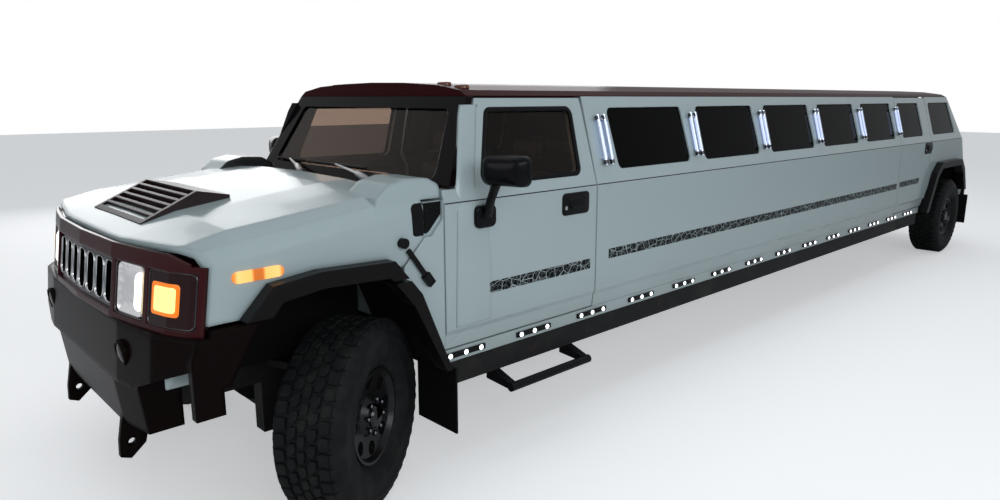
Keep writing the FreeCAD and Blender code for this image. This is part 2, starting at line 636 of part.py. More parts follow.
def make_rear_quarters():
    x_front = front_x - d.rear_door_rear - half_gap
    x_rear = front_x - tail_foot_back
    inner_y = d.tailgate_half_width + d.moving_gap
    outer = side_section(d.sill_top, d.sill_half_width, d.roof_edge, d.roof_edge_half_width)[:7]
    block = prism("QuarterBlock", "YZ", outer + [(inner_y, d.roof_edge), (inner_y, d.sill_top)],
                  x_rear, x_front)
    cut_pocket(block, "XZ", behind_tail(zero), inner_y - d.cut_overrun, wall_outside)
    section = side_section(d.sill_top - d.cut_overrun, d.sill_half_width, d.roof_edge + d.cut_overrun,
                           d.roof_edge_half_width)[7:]
    room = prism("QuarterRoomSection", "YZ", [(inner_y - d.cut_overrun, d.sill_top - d.cut_overrun),
                                              (inner_y - d.cut_overrun, d.roof_edge + d.cut_overrun)]
                 + section, x_rear, x_front + d.cut_overrun)
    side_room = prism("QuarterRoomSide", "XZ", [(x_front + d.cut_overrun, d.roof_edge + d.cut_overrun)]
                      + [(tail_line(d.tail_post_depth)[0][0], d.roof_edge + d.cut_overrun)]
                      + tail_line(d.tail_post_depth)
                      + [(x_rear + d.tail_post_depth, d.sill_foot - d.cut_overrun),
                         (x_front + d.cut_overrun, d.sill_foot - d.cut_overrun)],
                      inner_y - d.cut_overrun, wall_outside)
    shell = cut("QuarterShell", block, common("QuarterRoom", room, side_room))
    arch = arch_points(rear_x, REAR_ARCH_SHARES)
    opening = [(arch[0][0], arch[0][1] - tyre_radius)] + arch + [(arch[-1][0], arch[0][1] - tyre_radius)]
    wheel_room = prism("QuarterWheelRoom", "XZ", opening, inner_y - d.cut_overrun, wall_outside)
    foot_edge = d.quarter_window_front + d.quarter_window_length
    edges = [d.quarter_window_front, d.quarter_window_front, foot_edge, foot_edge + d.quarter_window_rake]
    window = prism("QuarterWindowRoom", "XZ", window_corners(edges, zero), wall_inside, wall_outside)
    round_edges(window, "Y", d.window_corner)
    quarter = cut("RearQuarter", shell, joined("QuarterCuts", [wheel_room, window]))
    keep(both_sides("RearQuarters", quarter), "rear_quarters")
    return edges


def make_side_windows(quarter_edges):
    """All fixed panes of both sides."""
    panes = [window_pane(f"SidePane{index}", side_window_edges(index))
             for index in range(COUNTS["side_window_count"])]
    panes.append(window_pane("QuarterPane", quarter_edges))
    keep(both_sides("SideWindows", joined("SidePanesLeft", panes)), "side_windows")


# Roof shell: one shallow crown over the whole cabin
def make_roof_shell():
    outer = [(d.roof_edge_half_width * across, d.roof_edge + d.roof_rise * up)
             for across, up in ROOF_CROWN_SHARES]
    inner_half = d.roof_edge_half_width - d.pillar_thickness
    inner_rise = d.roof_rise - d.roof_thickness
    inner = [(inner_half * across, d.roof_edge + inner_rise * up) for across, up in ROOF_CROWN_SHARES]

    def across_middle(points):
        left = points[:-1]
        right = [(zero - across, up) for across, up in reversed(left)]
        return left + [points[-1]] + right

    section = across_middle(outer) + across_middle(inner)[::-1]
    roof = prism("RoofShell", "YZ", section, front_x - d.tail_head_back, front_x - d.screen_head_back)
    for start in (front_x - d.tail_head_back, front_x - d.screen_head_back - d.screen_frame_width):
        add_pad(roof, "YZ", across_middle(outer), start, start + d.screen_frame_width)
    drop = d.door_head_gap
    leaf = span("TailgateHinge", (front_x - d.tail_head_back, front_x - d.tail_head_back + d.hinge_width),
                (d.hood_hinge_half_width - d.hinge_width, d.hood_hinge_half_width),
                (d.roof_edge - drop + d.seat_gap, d.roof_edge))
    keep(joined("RoofWithHinges", [roof, leaf, mirrored("TailgateHingeRight", leaf)]), "roof_shell")


# Cowl: side panels ahead of the doors, hinge posts, firewall and the shelf under the windshield
def make_cowl():
    edge = arch_points(front_x, [(-0.681, 2.36), (-0.80, 2.21), (-1.19, 1.283)])
    gap = d.panel_gap
    vent_x = front_x - d.side_vent_front_back - gap
    inner_y = d.panel_half_width - d.cowl_side_thickness
    panel = prism("CowlSide", "XZ", [(door_seam_x, d.sill_foot)] + edge[::-1] + [
        (front_x - d.hood_corner_back - gap, d.hood_corner_height - gap),
        (vent_x, d.side_vent_foot),
        (vent_x, cowl_head),
        (door_seam_x, cowl_head),
    ], inner_y, d.panel_half_width)
    cut_pocket(panel, "XZ", [
        (vent_x + d.cut_overrun, d.side_vent_foot),
        (vent_x - d.latch_grip, d.side_vent_foot),
        (door_seam_x + gap, d.side_vent_foot + d.marker_height * 1.6),
        (door_seam_x + gap, cowl_head + d.cut_overrun),
        (vent_x + d.cut_overrun, cowl_head + d.cut_overrun),
    ], d.panel_half_width - d.side_vent_depth, wall_outside)
    web_x = (door_seam_x, door_seam_x + gap * 2)
    post = span("HingePost", (front_x - d.firewall_back, web_x[1]),
                (d.post_inner_half_width, d.floor_half_width), (floor_head, cowl_head))
    web = span("HingeWeb", web_x, (d.floor_half_width, inner_y), (floor_head, cowl_head))
    leaves = hinge_leaves(front_x - d.front_door_front - half_gap)
    left = joined("CowlLeft", [panel, post, web] + leaves)
    back = (front_x - d.firewall_back - d.firewall_thickness, front_x - d.firewall_back)
    firewall = span("Firewall", back, (zero - d.floor_half_width, d.floor_half_width),
                    (rail_head, cowl_head))
    shelf = span("CowlShelf", (back[0], front_x - d.side_vent_front_back - d.moving_gap),
                 (zero - d.cowl_shelf_half_width, d.cowl_shelf_half_width),
                 (cowl_head - d.floor_thickness, cowl_head))
    keep(joined("CowlPanels", [left, mirrored("CowlRight", left), firewall, shelf]), "cowl_panels")


# Windshield: a leaning frame across the cab, with one flat pane in it
def make_windshield():
    head_x = front_x - d.screen_head_back
    foot_x = front_x - d.screen_foot_back - screen_slope * (d.screen_foot_height - cowl_head)
    depth = d.screen_frame_depth
    frame = prism("WindshieldFrame", "XZ", [(foot_x, cowl_head), (head_x, d.roof_edge),
                                            (head_x - depth, d.roof_edge), (foot_x - depth, cowl_head)],
                  zero - d.belt_half_width, d.belt_half_width)
    rear_reach = head_x - d.wall_thickness
    front_reach = foot_x + d.wall_thickness
    over = d.cut_overrun
    side_foot = d.screen_foot_height + d.screen_gap
    for side in (1, -1):
        cut_pocket(frame, "YZ", [
            (d.floor_half_width * side, d.belt_height),
            (d.floor_half_width * side, side_foot),
            (d.glass_foot_half_width * side, side_foot),
            (d.glass_head_half_width * side, d.glass_head),
            (d.roof_edge_half_width * side, d.roof_edge),
            (d.roof_edge_half_width * side, d.roof_edge + over),
            (wall_outside * side, d.roof_edge + over),
            (wall_outside * side, d.belt_height),
        ], rear_reach, front_reach)
    foot_z = d.screen_foot_height + d.screen_frame_width / 2
    head_z = d.roof_edge - d.screen_frame_width

    def pane_outline(gap):
        return [(d.screen_foot_half_width - gap, foot_z + gap),
                (d.screen_head_half_width - gap, head_z - gap),
                (zero - d.screen_head_half_width + gap, head_z - gap),
                (zero - d.screen_foot_half_width + gap, foot_z + gap)]

    opening = prism("WindshieldOpening", "YZ", pane_outline(zero), rear_reach, front_reach)
    round_edges(opening, "X", d.window_corner)
    keep(cut("WindshieldRing", frame, opening), "windshield_frame")
    slab = prism("WindshieldSlab", "YZ", pane_outline(d.seat_gap), rear_reach, front_reach)
    round_edges(slab, "X", d.window_corner - d.seat_gap)
    back = d.glass_inset
    thick = back + d.glass_thickness
    band = prism("WindshieldBand", "XZ", [(foot_x - back, cowl_head), (head_x - back, d.roof_edge),
                                          (head_x - thick, d.roof_edge), (foot_x - thick, cowl_head)],
                 zero - d.belt_half_width, d.belt_half_width)
    keep(common("WindshieldGlass", slab, band), "windshield_glass")


# Tailgate with its window, hinged at the roof, and the tail lamps beside it
def make_tailgate():
    half = d.tailgate_half_width
    drop = d.door_head_gap
    head, belt, corner = tail_line(zero)
    slope = (head[0] - belt[0]) / (head[1] - belt[1])
    slope_low = (belt[0] - corner[0]) / (belt[1] - corner[1])
    top = (head[0] - slope * drop, head[1] - drop)
    foot = (corner[0] + slope_low * d.moving_gap, corner[1] + d.moving_gap)
    depth = d.tail_post_depth
    points = [top, belt, foot, (foot[0] + depth, foot[1]), (belt[0] + depth, belt[1]),
              (top[0] + depth, top[1])]
    gate = prism("Tailgate", "XZ", points, zero - half, half)
    rear_reach = (tail_x, head[0] + depth)
    glass_half = d.tail_window_half_width
    opening = [(glass_half, d.tail_window_foot), (glass_half, d.tail_window_head),
               (zero - glass_half, d.tail_window_head), (zero - glass_half, d.tail_window_foot)]
    hole = prism("TailOpening", "YZ", opening, *rear_reach)
    round_edges(hole, "X", d.window_corner)
    keep(cut("TailgateShell", gate, hole), "tailgate")
    gap = d.seat_gap
    slab = prism("TailSlab", "YZ", [(glass_half - gap, d.tail_window_foot + gap),
                                    (glass_half - gap, d.tail_window_head - gap),
                                    (gap - glass_half, d.tail_window_head - gap),
                                    (gap - glass_half, d.tail_window_foot + gap)], *rear_reach)
    round_edges(slab, "X", d.window_corner - gap)
    inset = d.glass_inset
    thick = inset + d.glass_thickness
    band = prism("TailBand", "XZ", [(top[0] + inset, top[1]), (belt[0] + inset, belt[1]),
                                    (belt[0] + thick, belt[1]), (top[0] + thick, top[1])],
                 zero - half, half)
    keep(common("TailgateGlass", slab, band), "tailgate_glass")
    lamp_foot = d.tail_lamp_foot
    lamp_head = d.tail_lamp_foot + d.tail_lamp_height
    face_foot = foot[0] + slope_low * (lamp_foot - foot[1])
    face_head = foot[0] + slope_low * (lamp_head - foot[1])
    proud = d.tail_lamp_proud
    lamp = prism("TailLamp", "XZ", [(face_foot, lamp_foot), (face_head, lamp_head),
                                    (face_head - proud, lamp_head), (face_foot - proud, lamp_foot)],
                 d.panel_half_width - d.tail_lamp_width - d.tail_lamp_proud,
                 d.panel_half_width - d.tail_lamp_proud)
    keep(both_sides("TailLamps", lamp), "tail_lamps")


# Hood: one moulded shell with the tops and sides of the front wings
def hood_half(shares, skin):
    """Half of one hood section, from the side's foot to the middle."""
    side, shoulder, crease, flank, middle = [d.hood_height * share for share in shares]
    return [
        (d.panel_half_width - skin, d.hood_side_foot),
        (d.panel_half_width - skin, side - skin),
        (d.hood_shoulder_half_width - skin, shoulder - skin),
        (d.hood_crease_half_width - skin, crease - skin),
        (d.hood_middle_half_width, flank - skin),
        (zero, middle - skin),
    ]


def hood_form(name, skin, overrun):
    """The solid form under the hood's sections, a skin smaller all round."""
    body = new_body(name)
    sketches = []
    start = front_x + d.hood_front_ahead
    length = d.hood_front_ahead + d.side_vent_front_back
    stations = [(start - length * along, heights) for along, *heights in HOOD_SECTION_SHARES]
    if value_of(overrun) > 0:
        stations.insert(0, (stations[0][0] + overrun, stations[0][1]))
        stations.append((stations[-1][0] - overrun, stations[-1][1]))
    for level, heights in stations:
        half = hood_half(heights, skin)
        right = [(zero - across, up) for across, up in reversed(half[:-1])]
        points = [(half[0][0], half[0][1] - overrun)] + half[1:] + right[:-1]
        points += [(right[-1][0], right[-1][1] - overrun)]
        sketches.append(outline(body, "YZ", points, level))
    loft = body.newObject("PartDesign::AdditiveLoft", "Sections")
    loft.Profile = sketches[0]
    loft.Sections = sketches[1:]
    loft.Ruled = True
    body.Tip = loft
    return body


def hood_side_cut():
    """What is cut from the hood's sides: the wheel arch and the cowl panel's corner."""
    edge = arch_points(front_x, FRONT_ARCH_SHARES[1:5])
    arch_end = arch_points(front_x, [(-0.565, 2.4972)])
    over = d.cut_overrun
    low = d.hood_side_foot - over
    rear = front_x - d.side_vent_front_back - over
    return [(front_x + d.hood_front_ahead + over, low), (front_x + d.hood_front_ahead + over, edge[0][1]),
            *edge, *arch_end, (front_x - d.hood_corner_back, d.hood_corner_height),
            (front_x - d.side_vent_front_back, d.side_vent_foot), (rear, d.side_vent_foot), (rear, low)]


def lean_at(height):
    """How far the nose stands ahead at a height, from its lean below the shelf."""
    return d.fascia_lean * (d.fascia_shelf - height) / (d.fascia_shelf - d.bumper_head)


def across(points):
    """A half outline given from the middle out, completed on the other side."""
    return [(along, zero - over) for along, over in reversed(points[1:])] + points


def stack(name, outlines):
    """A body lofted straight up through plan outlines, each given with its height."""
    body = new_body(name)
    sketches = [outline(body, "XY", points, height) for points, height in outlines]
    loft = body.newObject("PartDesign::AdditiveLoft", "Stack")
    loft.Profile = sketches[0]
    loft.Sections = sketches[1:]
    loft.Ruled = True
    body.Tip = loft
    return body


def hood_edge(shift, setback=zero):
    """The hood's front edge in plan, from the middle out, moved ahead and set back from it."""
    nose = front_x + d.fascia_nose_ahead + shift - setback
    return [(nose - d.fascia_sweep * (back + behind), d.panel_half_width * share)
            for share, back, behind in NOSE_PLAN_SHARES]


def make_nose_cut():
    """The room ahead of the hood's front edge, which leans as the nose does."""
    over = d.cut_overrun
    far = nose_x + over

    def room(shift):
        edge = hood_edge(shift)
        return across(edge + [(edge[-1][0], wall_outside), (far, wall_outside)])

    low = d.bumper_head
    return stack("HoodNoseCut", [(room(lean_at(low)), low), (room(zero), d.fascia_shelf),
                                 (room(zero), d.hood_height + over)])


def make_hood():
    solid = hood_form("HoodForm", zero, zero)
    hollow = hood_form("HoodHollow", d.hood_skin, d.cut_overrun)
    shell = cut("HoodShell", solid, hollow)
    side_cut = prism("HoodSideCut", "XZ", hood_side_cut(), zero - wall_outside, wall_outside)
    over = d.cut_overrun
    top_rear = span("HoodRearCut", (front_x - d.side_vent_front_back - over, front_x - d.hood_top_rear_back),
                    (zero - d.pod_inner_half_width, d.pod_inner_half_width),
                    (d.pod_foot - over, d.hood_height + over))
    room_half = d.cowl_shelf_half_width + d.moving_gap
    cowl_room = span("HoodCowlRoom",
                     (front_x - d.side_vent_front_back - over, front_x - d.hood_top_rear_back),
                     (zero - room_half, room_half), (d.hood_side_foot, d.pod_foot))
    cuts = joined("HoodCuts", [side_cut, make_nose_cut(), top_rear, cowl_room])
    pod = prism("HoodPod", "XZ", [
        (front_x - d.pod_front_back, d.pod_foot - d.pod_root),
        (front_x - d.pod_front_back, d.hood_height * 0.968),
        (front_x - d.pod_front_back - d.marker_height * 1.6, d.pod_top - d.floor_thickness),
        (front_x - d.hood_top_rear_back, d.pod_top),
        (front_x - d.pod_rear_back + d.marker_height * 1.6, d.pod_top - d.panel_gap),
        (front_x - d.pod_rear_back, d.pod_top - d.marker_height),
        (front_x - d.pod_rear_back, d.pod_foot),
        (front_x - d.hood_top_rear_back, d.pod_foot),
        (front_x - d.hood_top_rear_back, d.pod_foot - d.pod_root),
    ], d.pod_inner_half_width, d.pod_outer_half_width)
    crown = value_of(d.hood_height) * 0.968
    round_edges(pod, "Y", d.pod_rounding * 2,
                lambda middle: crown < middle.z and middle.x < value_of(front_x - d.pod_front_back) - 1)
    trimmed = cut("HoodTrimmed", shell, cuts)
    keep(joined("Hood", [trimmed, pod, mirrored("HoodPodRight", pod)]), "hood")
    return solid


# Hood vent: a raised wedge with slats across its open front
def make_hood_vent(hood_solid):
    front = front_x + d.vent_front_ahead
    rear = front_x + d.vent_rear_ahead
    tail = front_x + d.vent_tail_ahead
    low = d.hood_height * 0.86
    half = d.vent_half_width
    wedge = prism("VentWedge", "XZ", [(front, low), (front, d.hood_height * 0.906), (rear, d.vent_top),
                                      (tail, d.hood_height * 0.966), (tail, low)], zero - half, half)
    rim = d.vent_rim
    slope = (d.vent_top - d.hood_height * 0.906) / (d.vent_front_ahead - d.vent_rear_ahead)
    pitch = d.vent_slat + d.vent_slat_gap
    for index in range(COUNTS["vent_slat_count"]):
        start = front - rim - pitch * index
        end = start - d.vent_slat_gap
        surface = d.hood_height * 0.906 + slope * (front - start)
        cut_pocket(wedge, "XZ", [(start, surface - d.vent_depth), (start, surface + d.vent_depth),
                                 (end, surface + d.vent_depth * 2), (end, surface - d.vent_depth / 2)],
                   rim - half, half - rim)
    keep(cut("HoodVent", wedge, hood_solid), "hood_vent")


# Flares: black mouldings round the wheel openings
def flare_band(name, axle_x, outer, inner):
    points = arch_points(axle_x, outer) + arch_points(axle_x, inner)[::-1]
    body = prism(name, "XZ", points, d.flare_inner_half_width, d.flare_half_width)
    return body


def make_flares():
    hood_outer = FRONT_ARCH_SHARES[1:5] + [(-0.643, 2.40)]
    hood_inner = [(0.826, 2.30)] + FRONT_OPENING_SHARES[2:5] + [(-0.453, 2.40)]
    keep(both_sides("HoodFlares", flare_band("HoodFlare", front_x, hood_outer, hood_inner)), "hood_flares")
    leg_outer = [(-0.671, 2.367), (-0.80, 2.21), (-1.19, 1.283)]
    leg_inner = [(-0.480, 2.367), (-0.70, 2.10), (-1.11, 1.283)]
    leg = flare_band("FlareLeg", front_x, leg_outer, leg_inner)
    rear = flare_band("RearFlare", rear_x, REAR_ARCH_SHARES, REAR_OPENING_SHARES)
    keep(both_sides("WheelFlares", joined("FlaresLeft", [leg, rear])), "wheel_flares")


# Arch liners: the wheel rooms' roofs and inner walls, inside the body
def closer_in(shares, scale):
    """An arch's outline drawn in towards the wheel's middle, which is at a share of (0, 1)."""
    return [(ahead * scale, 1 + (up - 1) * scale) for ahead, up in shares]


def make_arch_liners():
    front = [(1.20, 2.073)] + FRONT_ARCH_SHARES[1:]
    pieces = []
    for name, axle_x, shares, inner_y in (("Front", front_x, front, d.liner_inner_half_width),
                                          ("Rear", rear_x, REAR_ARCH_SHARES, d.rear_liner_inner_half_width)):
        outer = arch_points(axle_x, shares)
        inner = arch_points(axle_x, closer_in(shares, 1 - LINER_SHARE))
        band = prism(name + "Liner", "XZ", outer + inner[::-1], inner_y, d.liner_outer_half_width)
        high = [point for point in outer if value_of(point[1]) > value_of(floor_head)]
        add_pad(band, "XZ", [(high[0][0], rail_head)] + high + [(high[-1][0], rail_head)],
                inner_y, inner_y + d.liner_wall)
        pieces.append(band)
    keep(both_sides("ArchLiners", joined("LinersLeft", pieces)), "arch_liners")


# Mud flaps behind the wheels
def make_mud_flaps():
    front_flap = span("FrontFlap", (front_x - d.flap_back - d.flap_thickness, front_x - d.flap_back),
                      (d.flap_inner_half_width, d.flare_half_width),
                      (d.flap_foot, d.beam_foot + d.beam_height))
    face = tail_x + d.rear_bumper_depth
    rear_flap = span("RearFlap", (face, face + d.flap_thickness),
                     (d.flap_inner_half_width, d.flare_half_width), (d.rear_flap_foot, d.sill_top))
    keep(both_sides("MudFlaps", joined("FlapsLeft", [front_flap, rear_flap])), "mud_flaps")


def hood_underside(along):
    """The height of the hood's underside near its front edge, beside the middle."""
    first, second = HOOD_SECTION_SHARES[:2]
    back = (front_x + d.hood_front_ahead - along) / (d.hood_front_ahead + d.side_vent_front_back)
    return d.hood_height * (back * ((second[4] - first[4]) / second[0]) + first[4]) - d.hood_skin


# Nose: a glossy surround with the grille and the lamps set into it
def swept_back(share):
    """How far the nose is swept back at a share of the half width, as a share of the sweep."""
    for (start, back, _), (end, further, _) in zip(NOSE_PLAN_SHARES, NOSE_PLAN_SHARES[1:]):
        if start <= share <= end:
            return back + (further - back) * (share - start) / (end - start)
    raise ValueError("share outside the nose")


def nose_edge(first, last, setback, height, inset=zero):
    """The nose's plan from one share of its half width to another, set back from the face."""
    inner = [share for share, _, _ in NOSE_PLAN_SHARES if first < share < last]
    nose = front_x + d.fascia_nose_ahead + lean_at(height) - setback
    points = [(nose - d.fascia_sweep * swept_back(share), d.panel_half_width * share)
              for share in [first, *inner, last]]
    points[-1] = (points[-1][0], points[-1][1] - inset)
    if first > 0:
        points[0] = (points[0][0], points[0][1] + inset)
    return points


def make_front_fascia():
    def body_plan(height):
        front = nose_edge(0, 1, zero, height)
        back = nose_edge(0, 0.945, d.fascia_depth, height)
        side_step = nose_edge(0.955, 1, d.seat_gap, height)[0]
        heel_y = d.panel_half_width - d.fascia_wall
        heel = [(front[-1][0], heel_y), (side_step[0] - d.hood_skin / 4, heel_y)]
        return across(front) + across(back + heel)[::-1]

    def lip_plan(lean):
        front = nose_edge(0, 0.945, lean, d.fascia_shelf)
        back = hood_edge(zero, zero - d.moving_gap)[:6]
        return across(front) + across(back)[::-1]

    low, shelf, high = d.bumper_head, d.fascia_shelf, d.fascia_lip
    body = stack("Fascia", [(body_plan(low), low), (body_plan(shelf), shelf)])
    reach = (front_x + d.hood_top_rear_back, nose_x)
    half = d.panel_half_width
    spans = [(zero - half * GRILLE_SHARE, half * GRILLE_SHARE)]
    for inner, outer in (HEADLAMP_SHARES, CORNER_LAMP_SHARES):
        spans += [(half * inner, half * outer), (zero - half * outer, zero - half * inner)]
    for start, end in spans:
        cut_pocket(body, "YZ", [(start, d.grille_foot), (end, d.grille_foot), (end, d.grille_head),
                                (start, d.grille_head)], *reach)
    lip = stack("FasciaLip", [(lip_plan(zero), shelf), (lip_plan(d.lip_lean), high)])
    for side in (1, -1):
        slope = [(half * 0.85 * side, high), (half * side, high), (half * side, shelf + d.panel_gap),
                 (half * 0.945 * side, shelf + d.moving_gap)]
        cut_pocket(lip, "YZ", slope, *reach)
    near = front_x + d.hood_hinge_ahead - d.hinge_setback
    far = near - d.hinge_leaf
    bracket = prism("HoodHinge", "XZ", [(near, shelf), (near, hood_underside(near) - d.seat_gap),
                                        (far, hood_underside(far) - d.seat_gap), (far, shelf)],
                    d.hood_hinge_half_width - d.hinge_width, d.hood_hinge_half_width)
    keep(joined("FasciaWhole", [body, lip, bracket, mirrored("HoodHingeRight", bracket)]), "front_fascia")


def nose_piece(name, shares, recess, depth, low, high):
    """A piece that fills part of the nose's outline, from its recessed face to a depth behind it."""
    plans = []
    for height in (low, high):
        front = nose_edge(*shares, recess, height, d.seat_gap)
        back = nose_edge(*shares, recess + depth, height, d.seat_gap)
        plan = front + back[::-1] if shares[0] > 0 else across(front) + across(back)[::-1]
        plans.append((plan, height))
    return stack(name, plans)


def make_grille():
    low = d.grille_foot + d.seat_gap
    high = d.grille_head - d.seat_gap
    plate = nose_piece("GrillePlate", (0, GRILLE_SHARE), d.grille_recess, d.grille_thickness, low, high)
    count = COUNTS["grille_slot_count"]
    half = d.panel_half_width * GRILLE_SHARE
    pitch = half * 2 / count
    slots = []
    for index in range(count):
        start = pitch * index - half + d.grille_bar / 2
        end = start + pitch - d.grille_bar
        slot = prism("GrilleSlot", "YZ", [(start, low + d.grille_bar), (end, low + d.grille_bar),
                                          (end, high - d.grille_bar), (start, high - d.grille_bar)],
                     front_x + d.hood_top_rear_back, nose_x + d.cut_overrun)
        round_edges(slot, "X", d.slot_corner)
        slots.append(slot)
    keep(cut("GrilleBars", plate, joined("GrilleSlots", slots)), "grille_bars")


def make_front_lamps():
    low = d.grille_foot + d.seat_gap
    high = d.grille_head - d.seat_gap
    head = nose_piece("Headlamp", HEADLAMP_SHARES, d.headlamp_recess, d.headlamp_depth, low, high)
    corner = nose_piece("CornerLamp", CORNER_LAMP_SHARES, d.corner_lamp_recess, d.corner_lamp_depth,
                        low, high)
    keep(both_sides("FrontLamps", joined("LampsLeft", [head, corner])), "front_lamps")


def make_side_markers():
    start = front_x + d.marker_front_ahead - d.marker_length
    low = d.marker_height_middle - d.marker_height / 2
    marker = prism("SideMarker", "XZ", [(start, low), (start + d.marker_length, low),
                                        (start + d.marker_length, low + d.marker_height),
                                        (start, low + d.marker_height)],
                   d.panel_half_width, d.panel_half_width + d.marker_proud)
    round_edges(marker, "Y", d.marker_height / 2 - d.seat_gap)
    keep(both_sides("SideMarkers", marker), "side_markers")


# Hood latches: a roller on the hood's side, and on the cowl a handle with the strap that hooks over it
def make_hood_latches():
    head_x = front_x - d.latch_head_back
    head_z = d.hood_corner_height + d.latch_rise
    side = d.panel_half_width
    roller = rod("LatchRoller", d.latch_roller, d.latch_depth, head_x, side, head_z, "Y")
    keep(both_sides("HoodLatches", roller), "hood_latches")

    def stretch(name, start, end, width, near, far):
        wide, tall = width * 0.405, width * 0.293
        first = (head_x - d.latch_run * start, head_z - d.latch_fall * start)
        last = (head_x - d.latch_run * end, head_z - d.latch_fall * end)
        corners = [(first[0] + wide, first[1] - tall), (first[0] - wide, first[1] + tall),
                   (last[0] - wide, last[1] + tall), (last[0] + wide, last[1] - tall)]
        return prism(name, "XZ", corners, near, far)

    strap = stretch("LatchStrap", 0.19, 0.95, d.latch_strap, side + d.panel_gap, side + d.latch_depth * 0.7)
    grip = stretch("LatchGrip", 0.86, 1.12, d.latch_grip, side + d.seat_gap,
                   side + d.latch_depth)
    keep(both_sides("LatchHandles", joined("LatchHandleLeft", [strap, grip])), "latch_handles")


# Front bumper: a bowed bar with raised ends, a cheek ahead of each wheel, a valance and two tow plates
def bumper_plan(shift):
    ahead = front_x + shift
    front = [(nose_x + shift, zero), (nose_x - d.seat_gap + shift, d.bumper_nose_half_width),
             (ahead + d.bumper_shoulder_ahead, d.bumper_shoulder_half_width),
             (ahead + d.bumper_end_ahead, d.bumper_half_width)]
    depth = d.bumper_depth
    back = [(nose_x - depth, zero), (nose_x - depth, d.rail_outer_half_width),
            (front_x + d.bumper_shoulder_ahead - depth, d.bumper_shoulder_half_width),
            (front_x + d.bumper_end_ahead - depth / 2, d.bumper_half_width - d.fascia_wall)]
    return across(front) + across(back)[::-1]


def valance_plan(shift):
    outer, wall = d.valance_half_width, d.valance_wall
    front = [(nose_x - d.panel_gap + shift, zero), (nose_x - d.panel_gap + shift, d.rail_outer_half_width),
             (front_x + d.bumper_shoulder_ahead - d.panel_gap + shift, outer)]
    back = [(nose_x - d.bumper_depth, zero), (nose_x - d.bumper_depth, d.rail_outer_half_width),
            (nose_x - d.bumper_depth, outer - wall), (front_x + d.valance_end_ahead, outer - wall),
            (front_x + d.valance_end_ahead, outer)]
    return across(front) + across(back)[::-1]


def make_front_bumper():
    belt = d.bumper_belt
    foot = d.bumper_foot
    head = d.bumper_head
    bar = stack("BumperBar", [(bumper_plan(zero), belt), (bumper_plan(zero - d.bumper_lean), head)])
    over = d.cut_overrun
    for side in (1, -1):
        cut_pocket(bar, "YZ", [(d.valance_half_width * side, belt), ((d.bumper_half_width + over) * side, belt - over),
                               ((d.bumper_half_width + over) * side, belt + d.bumper_end_rise)],
                   front_x + d.hood_top_rear_back, nose_x)
    valance = stack("Valance", [(valance_plan(zero - d.valance_lean), foot), (valance_plan(zero), belt)])
    opening = arch_points(front_x, [(0.85, 2.27), *FRONT_OPENING_SHARES[1::-1], (1.26, 1.742)])
    cheek_front = front_x + d.bumper_end_ahead
    step = front_x + d.cheek_step_ahead
    cheek = prism("BumperCheek", "XZ", [
        *opening, (opening[-1][0], d.cheek_foot), (cheek_front, d.cheek_foot),
        (cheek_front, head - d.bumper_end_rise / 2), (cheek_front - d.bumper_lean, head), (step, head),
        (step, opening[0][1])], d.flare_inner_half_width, d.cheek_half_width)
    reach = d.plate_reach
    drop = d.plate_drop
    x_root = nose_x - d.bumper_depth
    root = foot + d.valance_wall
    inner_y = d.plate_half_spread - d.plate_thickness / 2
    plate = prism("TowPlate", "XZ", [
        (x_root, root), (x_root + reach * 0.25, root - drop * 0.75), (x_root + reach * 0.62, root - drop),
        (x_root + reach * 0.86, root - drop * 0.92), (x_root + reach * 0.84, root - drop * 0.60),
        (x_root + reach * 0.70, root)], inner_y, inner_y + d.plate_thickness)
    eye = rod("TowEye", d.tow_eye, d.plate_thickness + over, x_root + reach * 0.56,
              inner_y - over / 2, root - drop * 0.66, "Y")
    drilled = cut("TowPlateDrilled", plate, eye)
    keep(joined("FrontBumper", [bar, valance, cheek, mirrored("BumperCheekRight", cheek), drilled,
                                mirrored("TowPlateRight", drilled)]), "front_bumper")


# Rear bumper with its hitch receiver
def make_rear_bumper():
    half = d.bumper_half_width
    cham = d.rear_bumper_chamfer
    front = tail_x + d.rear_bumper_depth
    bar = prism("RearBar", "XY", [
        (tail_x, zero - half + cham * 2), (tail_x + cham, zero - half), (front, zero - half),
        (front, half), (tail_x + cham, half), (tail_x, half - cham * 2)],
        d.rear_bumper_foot, d.rear_bumper_head)
    side = d.hitch_outside / 2
    bore = d.hitch_inside / 2
    head = d.rear_bumper_foot
    tube = span("HitchTube", (tail_x, tail_x + d.rear_bumper_depth), (zero - side, side),
                (head - d.hitch_outside, head))
    hole = span("HitchHole", (tail_x - d.cut_overrun, tail_x + d.rear_bumper_depth + d.cut_overrun),
                (zero - bore, bore), (head - side - bore, head - side + bore))
    pin = rod("HitchPin", d.hitch_pin, d.hitch_outside + d.cut_overrun, tail_x + d.hitch_pin_setback,
              zero - side - d.cut_overrun / 2, head - side, "Y")
    receiver = cut("HitchReceiver", tube, joined("HitchCuts", [hole, pin]))
    keep(joined("RearBumper", [bar, receiver]), "rear_bumper")


# Wheels: a tyre and a pressed rim, drawn about the kingpin and then steered
wheel_middle = d.track / 2 - d.kingpin_half_width


def turned(name, points):
    """A solid of revolution about the Y axis from radii and places along it."""
    body = new_body(name)
    sketch = outline(body, "XY", points, zero)
    feature = body.newObject("PartDesign::Revolution", "Turned")
    feature.Profile = sketch
    feature.ReferenceAxis = (sketch, ["V_Axis"])
    feature.Angle = 360
    body.Tip = feature
    return body


def tyre_points(side):
    half = d.tyre_width / 2
    return [(tyre_radius * out, wheel_middle * side + half * over) for out, over in TYRE_SHARES]


